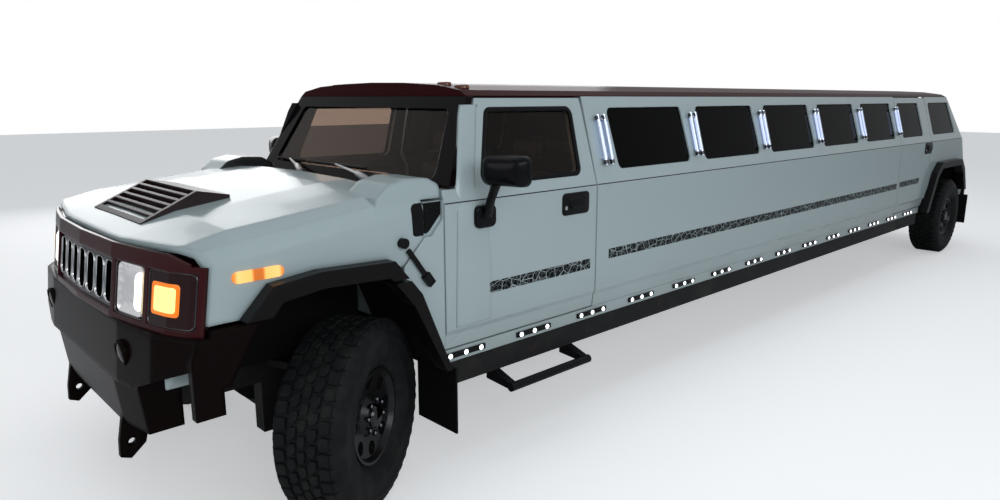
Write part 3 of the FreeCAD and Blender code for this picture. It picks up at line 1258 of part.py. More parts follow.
def rim_points(side):
    outer = tyre_radius * TYRE_SHARES[0][0] - d.seat_gap
    half = d.rim_width / 2
    wall = d.rim_wall
    disc = d.disc_outset
    hub = d.hub_diameter / 2
    bore = d.hub_bore / 2
    thick = d.disc_thickness

    def at(outset):
        return wheel_middle * side + outset * side

    return [
        (outer, at(zero - half)), (outer, at(half)), (outer - wall, at(half)),
        (outer - wall * 2, at(disc + thick * 1.4)), (hub, at(disc + thick)),
        (hub - thick, at(disc + thick * 2)), (bore, at(disc + thick * 2)), (bore, at(zero)),
        (hub, at(zero)), (hub + thick, at(disc)), (outer - wall * 2, at(disc)),
        (outer - wall, at(zero - half)),
    ]


def rim_with_holes(name, side):
    rim = turned(name + "Turned", rim_points(side))
    outer = tyre_radius * TYRE_SHARES[0][0]
    ring_radius = (outer + d.hub_diameter / 2) / 2
    holes = []
    for index in range(COUNTS["spoke_hole_count"]):
        turn = math.radians(360 / COUNTS["spoke_hole_count"] * index)
        hole = rod(name + "Hole", d.spoke_hole, d.rim_width, ring_radius * math.cos(turn),
                   wheel_middle * side - d.rim_width / 2,
                   ring_radius * math.sin(turn), "Y")
        holes.append(hole)
    return cut(name, rim, joined(name + "Holes", holes))


def knuckle(name, side):
    """The upright on the kingpin, with the spindle that carries the wheel."""
    half = d.knuckle_width / 2
    upright = span(name + "Upright", (zero - d.knuckle_length / 2, d.knuckle_length / 2),
                   (zero - half, half), (zero - d.knuckle_height / 2, d.knuckle_height / 2))
    reach = wheel_middle + d.disc_outset + d.disc_thickness * 2
    start = half if side > 0 else zero - reach
    spindle = rod(name + "Spindle", d.spindle_diameter, reach - half, zero, start, zero, "Y")
    return joined(name, [upright, spindle])


def set_wheel(item, axle_x, side, angle):
    return place(item, axle_x, d.kingpin_half_width * side, tyre_radius, "Z", angle)


def make_wheels():
    for end, axle_x, angle in (("front", front_x, d.steer_angle), ("rear", rear_x, zero)):
        for word, side in (("left", 1), ("right", -1)):
            name = f"{end.title()}{word.title()}"
            tyre = turned(name + "Tyre", tyre_points(side))
            keep(set_wheel(tyre, axle_x, side, angle), f"{word}_{end}_tyre")
            rim = rim_with_holes(name + "Rim", side)
            keep(set_wheel(rim, axle_x, side, angle), f"{word}_{end}_rim")
            if end == "front":
                upright = knuckle(name + "Knuckle", side)
                keep(set_wheel(upright, axle_x, side, angle), f"{word}_knuckle")


# Front axle: differential, half shafts and the arms that hold the knuckles
def make_front_axle():
    diff = rod("FrontDifferential", d.differential, d.differential / 2, front_x, zero - d.differential / 4,
               tyre_radius, "Y")
    shaft_end = d.kingpin_half_width - d.knuckle_width * 1.5
    shaft = rod("HalfShafts", d.half_shaft, shaft_end * 2, front_x, zero - shaft_end, tyre_radius, "Y")
    pieces = [diff, shaft]
    half_knuckle = d.knuckle_height / 2 + d.seat_gap
    tip = d.arm_tip_width / 2
    root = d.arm_root_width / 2
    bend = d.arm_bend_half_width
    tip_y = d.kingpin_half_width + d.knuckle_width / 2
    for low in (tyre_radius + half_knuckle, tyre_radius - half_knuckle - d.arm_thickness):
        arm = prism("Arm", "XY", [
            (front_x + root, rail_inner), (front_x + tip, bend), (front_x + tip, tip_y),
            (front_x - tip, tip_y), (front_x - tip, bend), (front_x - root, rail_inner)],
            low, low + d.arm_thickness)
        pieces += [arm, mirrored("ArmRight", arm)]
    low_arm = tyre_radius - half_knuckle - d.arm_thickness
    bracket = span("ArmBracket", (front_x - root, front_x + root), (rail_inner, d.rail_outer_half_width),
                   (low_arm, d.rail_foot))
    hanger = span("DifferentialHanger", (front_x - tip, front_x + tip), (zero - rail_inner, rail_inner),
                  (low_arm, low_arm + d.arm_thickness))
    pieces += [bracket, mirrored("ArmBracketRight", bracket), hanger]
    axle = joined("FrontAxleWhole", pieces)
    rail_room = span("RailRoom", (front_x - root * 2, front_x + root * 2),
                     (rail_inner, d.rail_outer_half_width), (d.rail_foot, rail_head))
    both = joined("RailRooms", [rail_room, mirrored("RailRoomRight", rail_room)])
    keep(cut("FrontAxle", axle, both), "front_axle")


# Rear axle: one tube with its differential and spindles, on short spring seats
def make_rear_axle():
    tube_end = d.kingpin_half_width - d.knuckle_width / 2
    spindle_end = d.track / 2 + d.disc_outset + d.disc_thickness * 2
    tube = rod("AxleTube", d.axle_tube, tube_end * 2, rear_x, zero - tube_end, tyre_radius, "Y")
    spindles = rod("RearSpindles", d.spindle_diameter, spindle_end * 2, rear_x, zero - spindle_end,
                   tyre_radius, "Y")
    diff = rod("RearDifferential", d.differential, d.differential / 2, rear_x, zero - d.differential / 4,
               tyre_radius, "Y")
    seat = span("SpringSeat", (rear_x - d.axle_tube / 2, rear_x + d.axle_tube / 2),
                (rail_inner, d.rail_outer_half_width), (tyre_radius, d.rail_foot))
    keep(joined("RearAxle", [tube, spindles, diff, seat, mirrored("SpringSeatRight", seat)]), "rear_axle")


# Engine as one block on the rails, and the shaft that runs back from the gearbox
def make_engine():
    rear = front_x + d.engine_front_ahead - d.engine_length
    half = d.engine_width / 2
    keep(span("Engine", (rear, rear + d.engine_length), (zero - half, half),
              (rail_head, rail_head + d.engine_height)), "engine_block")


def make_driveshaft():
    rear_end = rear_x + d.differential / 2
    box_front = front_x - d.firewall_back - d.cross_width
    half = d.gearbox_width / 2
    gearbox = span("Gearbox", (box_front - d.gearbox_length, box_front), (zero - half, half),
                   (d.shaft_height - d.shaft_diameter / 2, rail_head))
    shaft = rod("Shaft", d.shaft_diameter, box_front - rear_end, rear_end, zero, d.shaft_height, "X")
    keep(joined("Driveshaft", [gearbox, shaft]), "driveshaft")


# Steps: a tube loop under each front door
def make_side_steps():
    foot = d.step_middle_height - d.step_tube / 2
    front = front_x - d.step_front_back
    rear = front - d.step_length
    bar = rod("StepBar", d.step_tube, d.step_length, rear, d.step_outer_half_width - d.step_tube / 2,
              d.step_middle_height, "X")
    pieces = [bar]
    root = d.step_root_half_width
    for start in (front - d.step_tube, rear):
        pieces.append(prism("StepLeg", "YZ", [
            (root, d.beam_foot), (root + d.step_tube, d.beam_foot),
            (d.step_outer_half_width - d.step_tube / 2, d.step_middle_height + d.step_tube * 0.3),
            (d.step_outer_half_width - d.step_tube / 2, d.step_middle_height - d.step_tube * 0.3),
            (root, foot + d.step_tube / 2)], start, start + d.step_tube))
    keep(both_sides("SideSteps", joined("StepLeft", pieces)), "side_steps")


# Driver's cab: dashboard, steering wheel and two seats
def make_dashboard():
    front = front_x - d.firewall_back - d.firewall_thickness
    head = d.dash_head
    depth = d.dash_depth
    dash = prism("DashBody", "XZ", [
        (front, head - d.dash_height), (front, head), (front - depth * 0.72, head),
        (front - depth, head - d.dash_height * 0.35), (front - depth * 0.8, head - d.dash_height)],
        zero - d.dash_half_width, d.dash_half_width)
    return keep(dash, "dashboard")


def make_steering_wheel(dash):
    x_hub = front_x - d.firewall_back - d.firewall_thickness - d.dash_depth - d.column_length
    ring = doc.addObject("Part::Torus", "WheelRing")
    ring.setExpression("Radius1", formula_of(d.wheel_rim_diameter / 2 - d.wheel_rim_tube / 2))
    ring.setExpression("Radius2", formula_of(d.wheel_rim_tube / 2))
    hub = doc.addObject("Part::Cylinder", "WheelColumn")
    hub.setExpression("Radius", formula_of(d.column_diameter / 2))
    hub.setExpression("Height", formula_of(d.column_length * 1.6))
    spoke = doc.addObject("Part::Box", "WheelSpoke")
    spoke.setExpression("Length", formula_of(d.wheel_rim_tube))
    spoke.setExpression("Width", formula_of(d.wheel_rim_diameter - d.wheel_rim_tube))
    spoke.setExpression("Height", formula_of(d.wheel_rim_tube / 2))
    spoke.setExpression("Placement.Base.x", formula_of(zero - d.wheel_rim_tube / 2))
    spoke.setExpression("Placement.Base.y", formula_of((d.wheel_rim_tube - d.wheel_rim_diameter) / 2))
    wheel = joined("SteeringWheel", [ring, hub, spoke])
    lean = d.column_angle + 90
    wheel.Placement = FreeCAD.Placement(FreeCAD.Vector(), FreeCAD.Rotation(ALONG["Y"], value_of(lean)))
    wheel.setExpression("Placement.Rotation.Angle", formula_of(lean))
    wheel.setExpression("Placement.Base.x", formula_of(x_hub))
    wheel.setExpression("Placement.Base.y", formula_of(d.seat_middle_half_width))
    wheel.setExpression("Placement.Base.z", formula_of(d.dash_head - d.wheel_drop))
    keep(cut("SteeringWheelSeated", wheel, dash), "steering_wheel")


def make_front_seats():
    front = front_x - d.seat_front_back
    base = floor_head
    length = d.seat_length
    lean = d.seat_lean
    back = d.seat_back_depth
    inner = d.seat_middle_half_width - d.seat_width / 2
    seat = prism("Seat", "XZ", [
        (front, base), (front, base + d.seat_height), (front - length + back, base + d.seat_height * 0.9),
        (front - length + back - lean, base + d.seat_back_height),
        (front - length - lean, base + d.seat_back_height), (front - length, base)],
        inner, inner + d.seat_width)
    keep(both_sides("FrontSeats", seat), "front_seats")


# Mirrors on the front doors
def make_mirrors():
    base_x = front_x - d.mirror_base_back
    base_foot = d.mirror_foot - d.mirror_base_drop
    base_head = base_foot + d.mirror_base_height
    lean = (d.panel_half_width - d.belt_half_width) / (d.belt_height - d.crease_high)
    seat_y = d.panel_half_width - lean * (base_foot - d.crease_high) + d.seat_gap
    base_face = d.panel_half_width + d.mirror_base_depth
    base = prism("MirrorBase", "XZ", [(base_x - d.mirror_base, base_foot), (base_x, base_foot),
                                      (base_x, base_head), (base_x - d.mirror_base, base_head)],
                 seat_y, base_face)
    round_edges(base, "Y", d.mirror_rounding)
    head_x = front_x - d.mirror_head_back
    inner = d.mirror_inner_half_width
    outer = inner + d.mirror_width
    depth = d.mirror_depth
    head = prism("MirrorHead", "XY", [
        (head_x, inner), (head_x - d.mirror_sweep, outer), (head_x - d.mirror_sweep - depth, outer),
        (head_x - d.mirror_sweep / 2 - depth, inner)], d.mirror_foot, d.mirror_foot + d.mirror_height)
    round_edges(head, "Z", d.mirror_rounding)
    arm_x = base_x - d.mirror_arm * 1.5
    arm = prism("MirrorArm", "YZ", [
        (seat_y + d.mirror_base_depth / 3, base_foot + d.mirror_base_height * 0.8),
        (base_face, base_foot + d.mirror_base_height * 0.6),
        (inner + d.mirror_width * 0.45, d.mirror_foot), (inner + d.mirror_width * 0.2, d.mirror_foot)],
        arm_x - d.mirror_arm, arm_x)
    mirror = joined("Mirror", [base, head, arm])
    keep(mirror, "left_mirror")
    keep(mirrored("MirrorRight", mirror), "right_mirror")


make_frame_rails()
make_cross_tubes()
make_cabin_floor()
make_rocker_panels()
make_rocker_lights()
make_side_walls()
make_tube_lights()
make_doors()
make_side_windows(make_rear_quarters())
make_roof_shell()
make_cowl()
make_windshield()
make_tailgate()
make_hood_vent(make_hood())
make_flares()
make_arch_liners()
make_mud_flaps()
make_front_fascia()
make_grille()
make_front_lamps()
make_side_markers()
make_hood_latches()
make_front_bumper()
make_rear_bumper()
make_wheels()
make_front_axle()
make_rear_axle()
make_engine()
make_driveshaft()
make_side_steps()
make_steering_wheel(make_dashboard())
make_front_seats()
make_mirrors()
doc.recompute()

for item in doc.Objects:
    if "Invalid" in item.State or "Error" in item.State:
        raise RuntimeError(f"{item.Name} did not compute")
for item in NODES:
    if item.Shape.isNull() or not item.Shape.isValid():
        raise RuntimeError(f"{item.Label} has no valid shape")
for item in NODES:
    item.Shape.exportStep(f"parts/{item.Label}.step")
print(len(NODES), "pieces")
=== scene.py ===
import json

import bmesh
import bpy
import numpy as np
from mathutils import Matrix, Vector


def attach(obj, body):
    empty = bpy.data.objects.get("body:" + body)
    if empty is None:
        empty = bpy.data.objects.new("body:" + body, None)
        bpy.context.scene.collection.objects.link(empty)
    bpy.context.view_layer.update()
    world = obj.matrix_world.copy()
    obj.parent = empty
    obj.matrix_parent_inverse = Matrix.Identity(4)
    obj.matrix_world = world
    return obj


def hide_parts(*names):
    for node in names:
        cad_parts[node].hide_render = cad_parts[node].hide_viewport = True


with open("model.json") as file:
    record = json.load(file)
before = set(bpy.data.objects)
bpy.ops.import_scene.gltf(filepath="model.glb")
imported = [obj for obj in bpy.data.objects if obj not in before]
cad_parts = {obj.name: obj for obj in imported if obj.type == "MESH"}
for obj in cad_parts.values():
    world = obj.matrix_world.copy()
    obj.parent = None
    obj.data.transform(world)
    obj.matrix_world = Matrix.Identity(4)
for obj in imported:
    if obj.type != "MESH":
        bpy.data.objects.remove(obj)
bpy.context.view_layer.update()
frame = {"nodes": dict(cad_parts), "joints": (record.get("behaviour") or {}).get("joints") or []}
nodes = frame["nodes"]
scene = bpy.context.scene
scene.view_settings.view_transform = "Standard"


# Place of the viewer: ahead of the left front corner and a little above the
# windows, from where the whole long side runs away to the right.
def placed(name, data):
    """A new object in the scene that shows a camera, a lamp or a mesh."""
    made = bpy.data.objects.new(name, data)
    scene.collection.objects.link(made)
    return made


viewer = Vector((5.713, 3.515, 1.823))
sight = Vector((-0.6738, -0.7094, -0.2068)).normalized()
camera_data = bpy.data.cameras.new("viewer")
camera_data.sensor_width = 36.0
camera_data.lens = 25.94
camera_data.clip_end = 200.0
camera = placed("viewer", camera_data)
side_axis = sight.cross(Vector((0, 0, 1))).normalized()
up_axis = side_axis.cross(sight)
camera.matrix_world = Matrix.Translation(viewer) @ Matrix((side_axis, up_axis, -sight)).transposed().to_4x4()
scene.camera = camera


# Studio: a plain pale floor, an even pale surround that metal and glass show
# too, and four large soft lamps: one overhead, one ahead and one at each side.
def feed(tree, socket, value):
    """A socket gets a number or a colour, or a link from another node's output."""
    if isinstance(value, bpy.types.NodeSocket):
        tree.links.new(value, socket)
    else:
        socket.default_value = value


def math_node(tree, operation, *terms):
    """The outcome of one sum or comparison of numbers and other nodes' outputs."""
    made = tree.nodes.new("ShaderNodeMath")
    made.operation = operation
    for socket, value in zip(made.inputs, terms):
        feed(tree, socket, value)
    return made.outputs[0]


class Finish:
    """A finish's node tree, with short calls for the nodes that it needs."""

    def __init__(self, name, color, roughness, metallic=0.0, **sockets):
        self.material = bpy.data.materials.new(name)
        self.material.use_nodes = True
        self.tree = self.material.node_tree
        self.shader = self.tree.nodes["Principled BSDF"]
        self.coordinates = self.tree.nodes.new("ShaderNodeTexCoord")
        self.place = self.coordinates.outputs["Object"]
        self.relief = None
        self.set("Base Color", (*color, 1.0))
        self.set("Roughness", roughness)
        self.set("Metallic", metallic)
        for socket, value in sockets.items():
            self.set(socket.replace("_", " "), value)

    def set(self, socket, value):
        self.shader.inputs[socket].default_value = value

    def link(self, output, socket):
        self.tree.links.new(output, self.shader.inputs[socket])
        return self

    def node(self, kind, **inputs):
        made = self.tree.nodes.new("ShaderNode" + kind)
        for name, value in inputs.items():
            feed(self.tree, made.inputs[name.replace("_", " ")], value)
        return made

    def math(self, operation, *terms):
        return math_node(self.tree, operation, *terms)

    def stretched(self, *scale):
        """Object coordinates drawn out, so that a grain runs along one axis."""
        return self.node("Mapping", Vector=self.place, Scale=scale).outputs["Vector"]

    def noise(self, scale, detail=4.0):
        return self.node("TexNoise", Vector=self.place, Scale=scale, Detail=detail).outputs["Fac"]

    def axis(self, letter, source=None):
        return self.node("SeparateXYZ", Vector=source or self.place).outputs[letter]

    def step(self, value, low_at, high_at, low=0.0, high=1.0):
        """A value carried from one range to another, held at both ends."""
        made = self.node("MapRange", Value=value, From_Min=low_at, From_Max=high_at, To_Min=low, To_Max=high)
        return made.outputs["Result"]

    def colors(self, fac, *stops):
        """Colours at places from 0 to 1 along a factor."""
        made = self.node("ValToRGB", Fac=fac)
        ramp = made.color_ramp.elements
        while len(ramp) < len(stops):
            ramp.new(0.5)
        for element, (at, color) in zip(ramp, stops):
            element.position = at
            element.color = (*color, 1.0)
        return made.outputs["Color"]

    def mix(self, fac, first, second):
        """One colour or another, by a factor from 0 to 1."""
        made = self.node("Mix")
        made.data_type = "RGBA"
        sockets = [socket for socket in made.inputs if socket.enabled]
        for socket, value in zip(sockets, (fac, first, second)):
            feed(self.tree, socket, (*value, 1.0) if isinstance(value, tuple) else value)
        return next(socket for socket in made.outputs if socket.enabled)

    def bump(self, height, strength, distance):
        made = self.node("Bump", Height=height, Strength=strength, Distance=distance)
        if self.relief:
            self.tree.links.new(self.relief, made.inputs["Normal"])
        self.relief = made.outputs["Normal"]
        return self.link(self.relief, "Normal")

    def grain(self, strength, depth, scale, detail=4.0):
        """A fine grain in the surface, from a noise of one scale."""
        return self.bump(self.noise(scale, detail), strength, depth)

    def soft_edges(self, radius):
        """Pressed or moulded edges: the shading turns round them over a radius."""
        made = self.node("Bevel", Radius=radius)
        made.samples = 4
        self.relief = made.outputs["Normal"]
        return self.link(self.relief, "Normal")

    def on(self, *pieces):
        for piece in pieces:
            target = nodes[piece] if isinstance(piece, str) else piece
            target.data.materials.clear()
            target.data.materials.append(self.material)
        return self


floor_reach = 40.0
floor_mesh = bpy.data.meshes.new("studio_floor")
floor_corners = [(x * floor_reach, y * floor_reach, 0) for x, y in ((-1, -1), (1, -1), (1, 1), (-1, 1))]
floor_mesh.from_pydata(floor_corners, [], [(0, 1, 2, 3)])
studio_floor = placed("studio_floor", floor_mesh)
pale_floor = Finish("pale_floor", (0.86, 0.86, 0.86), 0.9)
seen = pale_floor.node("LightPath").outputs["Is Camera Ray"]
pale_floor.set("Emission Color", (0.97, 0.985, 1.0, 1.0))
pale_floor.link(pale_floor.math("MULTIPLY", seen, 0.42), "Emission Strength")
pale_floor.grain(0.05, 0.001, 30.0, 3.0).on(studio_floor)

world = bpy.data.worlds.new("studio")
scene.world = world
world.use_nodes = True
sky = world.node_tree
rays = sky.nodes.new("ShaderNodeLightPath").outputs
shown = rays["Is Camera Ray"]
for ray, share in (("Is Glossy Ray", 0.30), ("Is Transmission Ray", 1.0)):
    shown = math_node(sky, "MAXIMUM", shown, math_node(sky, "MULTIPLY", rays[ray], share))
soft_sky = sky.nodes["Background"]
soft_sky.inputs["Color"].default_value = (0.86, 0.93, 1.0, 1)
soft_sky.inputs["Strength"].default_value = 0.24
white_sky = sky.nodes.new("ShaderNodeBackground")
white_sky.inputs["Color"].default_value = (1, 1, 1, 1)
sky_mix = sky.nodes.new("ShaderNodeMixShader")
for socket, output in zip(sky_mix.inputs, (shown, soft_sky.outputs[0], white_sky.outputs[0])):
    sky.links.new(output, socket)
sky.links.new(sky_mix.outputs["Shader"], sky.nodes["World Output"].inputs["Surface"])


def soft_lamp(name, place, target, size, power, color=(1, 1, 1)):
    """A rectangular lamp that faces a point."""
    data = bpy.data.lights.new(name, "AREA")
    data.shape = "RECTANGLE"
    data.size, data.size_y = size
    data.energy = power
    data.color = color
    made = placed(name, data)
    made.location = place
    made.rotation_euler = (Vector(target) - Vector(place)).to_track_quat("-Z", "Y").to_euler()


soft_lamp("overhead", (0, 0, 7.5), (0, 0, 0), (13, 6), 150)
soft_lamp("left_side", (4.5, 7.5, 3.6), (2.5, 0, 0.9), (8, 3), 215, (0.94, 0.98, 1.0))
soft_lamp("ahead", (10.5, 0.5, 3.2), (4.5, 0, 0.9), (4, 3), 60)
soft_lamp("right_side", (-2, -8.5, 3.6), (0, 0, 0.9), (12, 3), 240)

# Body shell: pressed and moulded panels under one pale, faintly blue gloss coat,
# with a thin film of road dust low down, and black painted as shade on the faces
# that look inward to the body or down.
coat_pale = (0.425, 0.515, 0.530)
coat_dusty = (0.345, 0.400, 0.400)
painted_shade_black = (0.012, 0.012, 0.013)


def inward(finish):
    """Factor 1 where a panel's face looks to the middle of the body or down, where black is painted as shade.
    """
    look = finish.coordinates.outputs["Normal"]
    sideways = finish.math("MULTIPLY", finish.axis("Y"), finish.axis("Y", look))
    inside = finish.step(sideways, -0.15, -0.25)
    under = finish.step(finish.axis("Z", look), -0.55, -0.75)
    return finish.math("MAXIMUM", inside, under)


pale_coat = Finish("pale_gloss_coat", coat_pale, 0.22, Coat_Weight=0.35, Coat_Roughness=0.04)
pale_coat.soft_edges(0.012)
dust_low = pale_coat.step(pale_coat.axis("Z"), 1.0, 0.56)
dust = pale_coat.math("MULTIPLY", pale_coat.math("MULTIPLY", dust_low, dust_low), pale_coat.noise(2.0, 1.0))
painted = pale_coat.colors(dust, (0.0, coat_pale), (0.75, coat_dusty))
# Faces that look inward or down are coloured black as painted shade, and their coat is made rougher.
painted_shade = inward(pale_coat)
pale_coat.link(pale_coat.mix(painted_shade, painted, painted_shade_black), "Base Color")
pale_coat.link(pale_coat.math("MAXIMUM", pale_coat.step(dust, 0.0, 0.8, 0.2, 0.5),
                              pale_coat.math("MULTIPLY", painted_shade, 0.7)), "Roughness")
pale_coat.grain(0.02, 0.0003, 240.0, 2.0)
pale_coat.on("cowl_panels", "side_walls", "rear_quarters", "rocker_panels", "tailgate",
             "left_front_door", "right_front_door", "left_rear_door", "right_rear_door")

hood_coat = Finish("hood_gloss_coat", coat_pale, 0.2, IOR=1.3, Coat_Weight=0.2, Coat_Roughness=0.04)
hood_coat.soft_edges(0.03)
# The hood's faces that look inward or down are coloured black as painted shade.
hood_coat.link(hood_coat.mix(inward(hood_coat), coat_pale, painted_shade_black), "Base Color")
hood_coat.grain(0.02, 0.0003, 240.0, 2.0).on("hood")

# Belt seam and door edges: the closed joint that runs the length of the body at
# the belt, sealed in black, and the pressed edges of the front doors.
sides = ((1, "left"), (-1, "right"))
body_section = np.array([(0.560, 0.936), (0.625, 0.936), (0.700, 0.944), (0.726, 0.957), (1.339, 0.955),
                         (1.416, 0.932), (1.766, 0.833), (1.830, 0.813)])
front_x = next(joint["pos_m"][0] for joint in frame["joints"] if joint["name"] == "left_steer")


def skin(height):
    """Half width of the body at a height: straight between the corners of its section."""
    return np.interp(height, body_section[:, 0], body_section[:, 1])


def points(x, y, z):
    """Points from their three coordinates, each spread over the rings of the others."""
    return np.stack(np.broadcast_arrays(x, y, z), -1)


def shell(name, rings, looped=False):
    """A closed skin through rings of points. The axes are copies, rings, points round a ring and x, y, z.
    The end rings are drawn to their middles, or joined to each other where the stack is looped."""
    rings = np.asarray(rings, float)
    rings = rings.reshape(-1, *rings.shape[-3:])
    if not looped:
        middles = np.repeat(rings[:, [0, -1]].mean(axis=2, keepdims=True), rings.shape[2], axis=2)
        rings = np.concatenate([middles[:, :1], rings, middles[:, 1:]], axis=1)
    copies, rows, columns = rings.shape[:3]
    copy, row, column = np.meshgrid(np.arange(copies), np.arange(rows - (not looped)), np.arange(columns),
                                    indexing="ij")
    after, beside = (row + 1) % rows, (column + 1) % columns
    corner = [(copy * rows + r) * columns + c for r, c in
              ((row, column), (after, column), (after, beside), (row, beside))]
    mesh = bpy.data.meshes.new(name)
    mesh.from_pydata(rings.reshape(-1, 3).tolist(), [], np.stack(corner, -1).reshape(-1, 4).tolist())
    work = bmesh.new()
    work.from_mesh(mesh)
    bmesh.ops.remove_doubles(work, verts=work.verts, dist=1e-6)
    bmesh.ops.dissolve_degenerate(work, edges=work.edges, dist=1e-7)
    bmesh.ops.recalc_face_normals(work, faces=work.faces)
    work.to_mesh(mesh)
    work.free()
    return placed(name, mesh)


def smooth(piece, angle=40):
    """Round faces shade smoothly and edges sharper than the angle stay."""
    piece.data.shade_smooth()
    piece.data.set_sharp_from_angle(angle=np.radians(angle))
    return piece


def fit(piece, finish, body="chassis"):
    """Gives a piece its finish and the body that it rides on."""
    finish.on(piece)
    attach(piece, body)


def joined(name, *stacks):
    """One piece from shells of several shapes."""
    parts = [shell(name, rings) for rings in stacks]
    work = bmesh.new()
    for part in parts:
        work.from_mesh(part.data)
    mesh = bpy.data.meshes.new(name)
    work.to_mesh(mesh)
    work.free()
    for part in parts:
        bpy.data.meshes.remove(part.data)
    return placed(name, mesh)


def strip(start, end, height, tall, proud, side):
    """Both end rings of a flat strip on the body side: its back follows the skin, its face stands proud."""
    up = np.array([-0.5, -0.3, 0.3, 0.5, 0.3, -0.3]) * tall + height
    out = skin(up) + proud * np.array([-1.0, 1.0, 1.0, -1.0, -1.6, -1.6])
    return points(front_x - np.array([[start], [end]]), out * side, up)


seam_height, seam_width, seam_proud = 1.343, 0.0075, 0.0008
door_lengths = {"front": (0.537, 1.643), "rear": (6.585, 7.525)}
wall_lengths = ((1.653, 6.577), (7.533, 8.640))
seam_black = Finish("seam_sealer", (0.006, 0.007, 0.008), 0.55).grain(0.1, 0.0005, 90.0, 3.0)
wall_seams = []
for side, word in sides:
    for end, length in door_lengths.items():
        body = f"{word}_{end}_door"
        piece = shell(f"{body}_belt_seam", strip(*length, seam_height, seam_width, seam_proud, side))
        fit(piece, seam_black, body)
    wall_seams += [strip(*length, seam_height, seam_width, seam_proud, side) for length in wall_lengths]
fit(shell("wall_belt_seams", wall_seams), seam_black)


def pressed_edge(heights, places, slope, backs, proud, side):
    """Rings of a low ridge up the door: a short slope to a crest, and a long one back to the skin."""
    heights, places, backs = (np.array(row)[:, None] for row in (heights, places, backs))
    along = np.concatenate([places + np.array([0.0, 0.5, 1.0]) * slope,
                            places + slope + backs * np.array([0.5, 1.0, 0.5])], axis=1)
    rise = np.array([-0.001, proud * 0.6, proud, proud * 0.55, -0.001, -0.003])
    return points(front_x - along, (skin(heights) + rise) * side, heights)


ridge_heights = [0.735, 1.0, 1.30, 1.40, 1.47, 1.74, 1.79]
ridge_places = [0.589, 0.598, 0.606, 0.612, 0.636, 0.716, 0.739]
ridge_slope, ridge_proud = 0.042, 0.006
ridge_backs = [0.22, 0.22, 0.18, 0.10, 0.09, 0.09, 0.08]
for side, word in sides:
    body = f"{word}_front_door"
    ridge = pressed_edge(ridge_heights, ridge_places, ridge_slope, ridge_backs, ridge_proud, side)
    fit(smooth(shell(f"{body}_pressed_edge", ridge), 25), pale_coat, body)

# Decorated bands: printed film on the doors and along the body, generic silver
# scratches of uneven length on black, cut off square at the ends.
film_height, film_thickness = 0.073, 0.0006
door_bands = {"front": (0.645, 1.599, 0.896), "rear": (6.62, 7.22, 0.935)}
wall_band = (1.767, 6.54, 0.927)
printed_film = Finish("printed_band", (0.01, 0.01, 0.01), 0.35, IOR=1.2)
scratches = printed_film.node("TexVoronoi", Vector=printed_film.stretched(1.0, 0.1, 1.3), Scale=15.0)
scratches.feature = "DISTANCE_TO_EDGE"
fine_scratches = printed_film.node("TexVoronoi", Vector=printed_film.stretched(1.5, 0.1, 1.1), Scale=24.0)
fine_scratches.feature = "DISTANCE_TO_EDGE"
lines = printed_film.math("MAXIMUM", printed_film.step(scratches.outputs["Distance"], 0.032, 0.022),
                          printed_film.step(fine_scratches.outputs["Distance"], 0.022, 0.014, 0.0, 0.8))
printed_film.link(printed_film.mix(lines, (0.004, 0.006, 0.007), (0.36, 0.42, 0.43)), "Base Color")
for side, word in sides:
    for end, place in door_bands.items():
        body = f"{word}_{end}_door"
        piece = shell(f"{body}_band", strip(*place, film_height, film_thickness, side))
        fit(piece, printed_film, body)
wall_bands = [strip(*wall_band, film_height, film_thickness, side) for side, _ in sides]
fit(shell("wall_bands", wall_bands), printed_film)


# Door handles: a black moulded pull plate in a shallow recess, with a paddle in
# it and a small round lock, screwed to each door from inside.
def ring(width, height, radius, steps=4):
    """Points round a rectangle with quarter circles at its corners."""
    turn = np.linspace(0, np.pi / 2, steps + 1)
    quarters = np.concatenate([turn + np.pi / 2 * n for n in range(4)])
    middles = np.repeat([(1, 1), (-1, 1), (-1, -1), (1, -1)], steps + 1, axis=0)
    half = np.array([width, height]) / 2 - radius
    return middles * half + radius * np.stack([np.cos(quarters), np.sin(quarters)], -1)


def block(place, axes, size, radius, edge):
    """Rings of a plate with round corners, out from its back, with the front drawn in by an edge."""
    place, axes = np.asarray(place, float), np.asarray(axes, float)
    width, height, depth = size
    layers = [(0, 0), (depth - edge, 0), (depth - edge * 0.3, edge * 0.3), (depth, edge)]
    flat = np.stack([ring(width - drawn * 2, height - drawn * 2, radius - min(drawn, radius * 0.9))
                     for _, drawn in layers])
    out = np.array([distance for distance, _ in layers])[:, None, None] * axes[2]
    return place[..., None, None, :] + flat @ axes[:2] + out


def turned(place, axis, outline, steps=24):
    """Rings of a turned form: radii and distances of its outline about an axis through a place."""
    place, axis = np.asarray(place, float), np.array(axis, float)
    axis = axis / np.linalg.norm(axis)
    first = np.cross(axis, (0.0, 0.0, 1.0) if abs(axis[2]) < 0.9 else (1.0, 0.0, 0.0))
    first = first / np.linalg.norm(first)
    second = np.cross(axis, first)
    turn = np.arange(steps) * 2 * np.pi / steps
    circle = np.cos(turn)[:, None] * first + np.sin(turn)[:, None] * second
    outline = np.array(outline, float)
    return place[..., None, None, :] + outline[:, 0, None, None] * circle + outline[:, 1, None, None] * axis


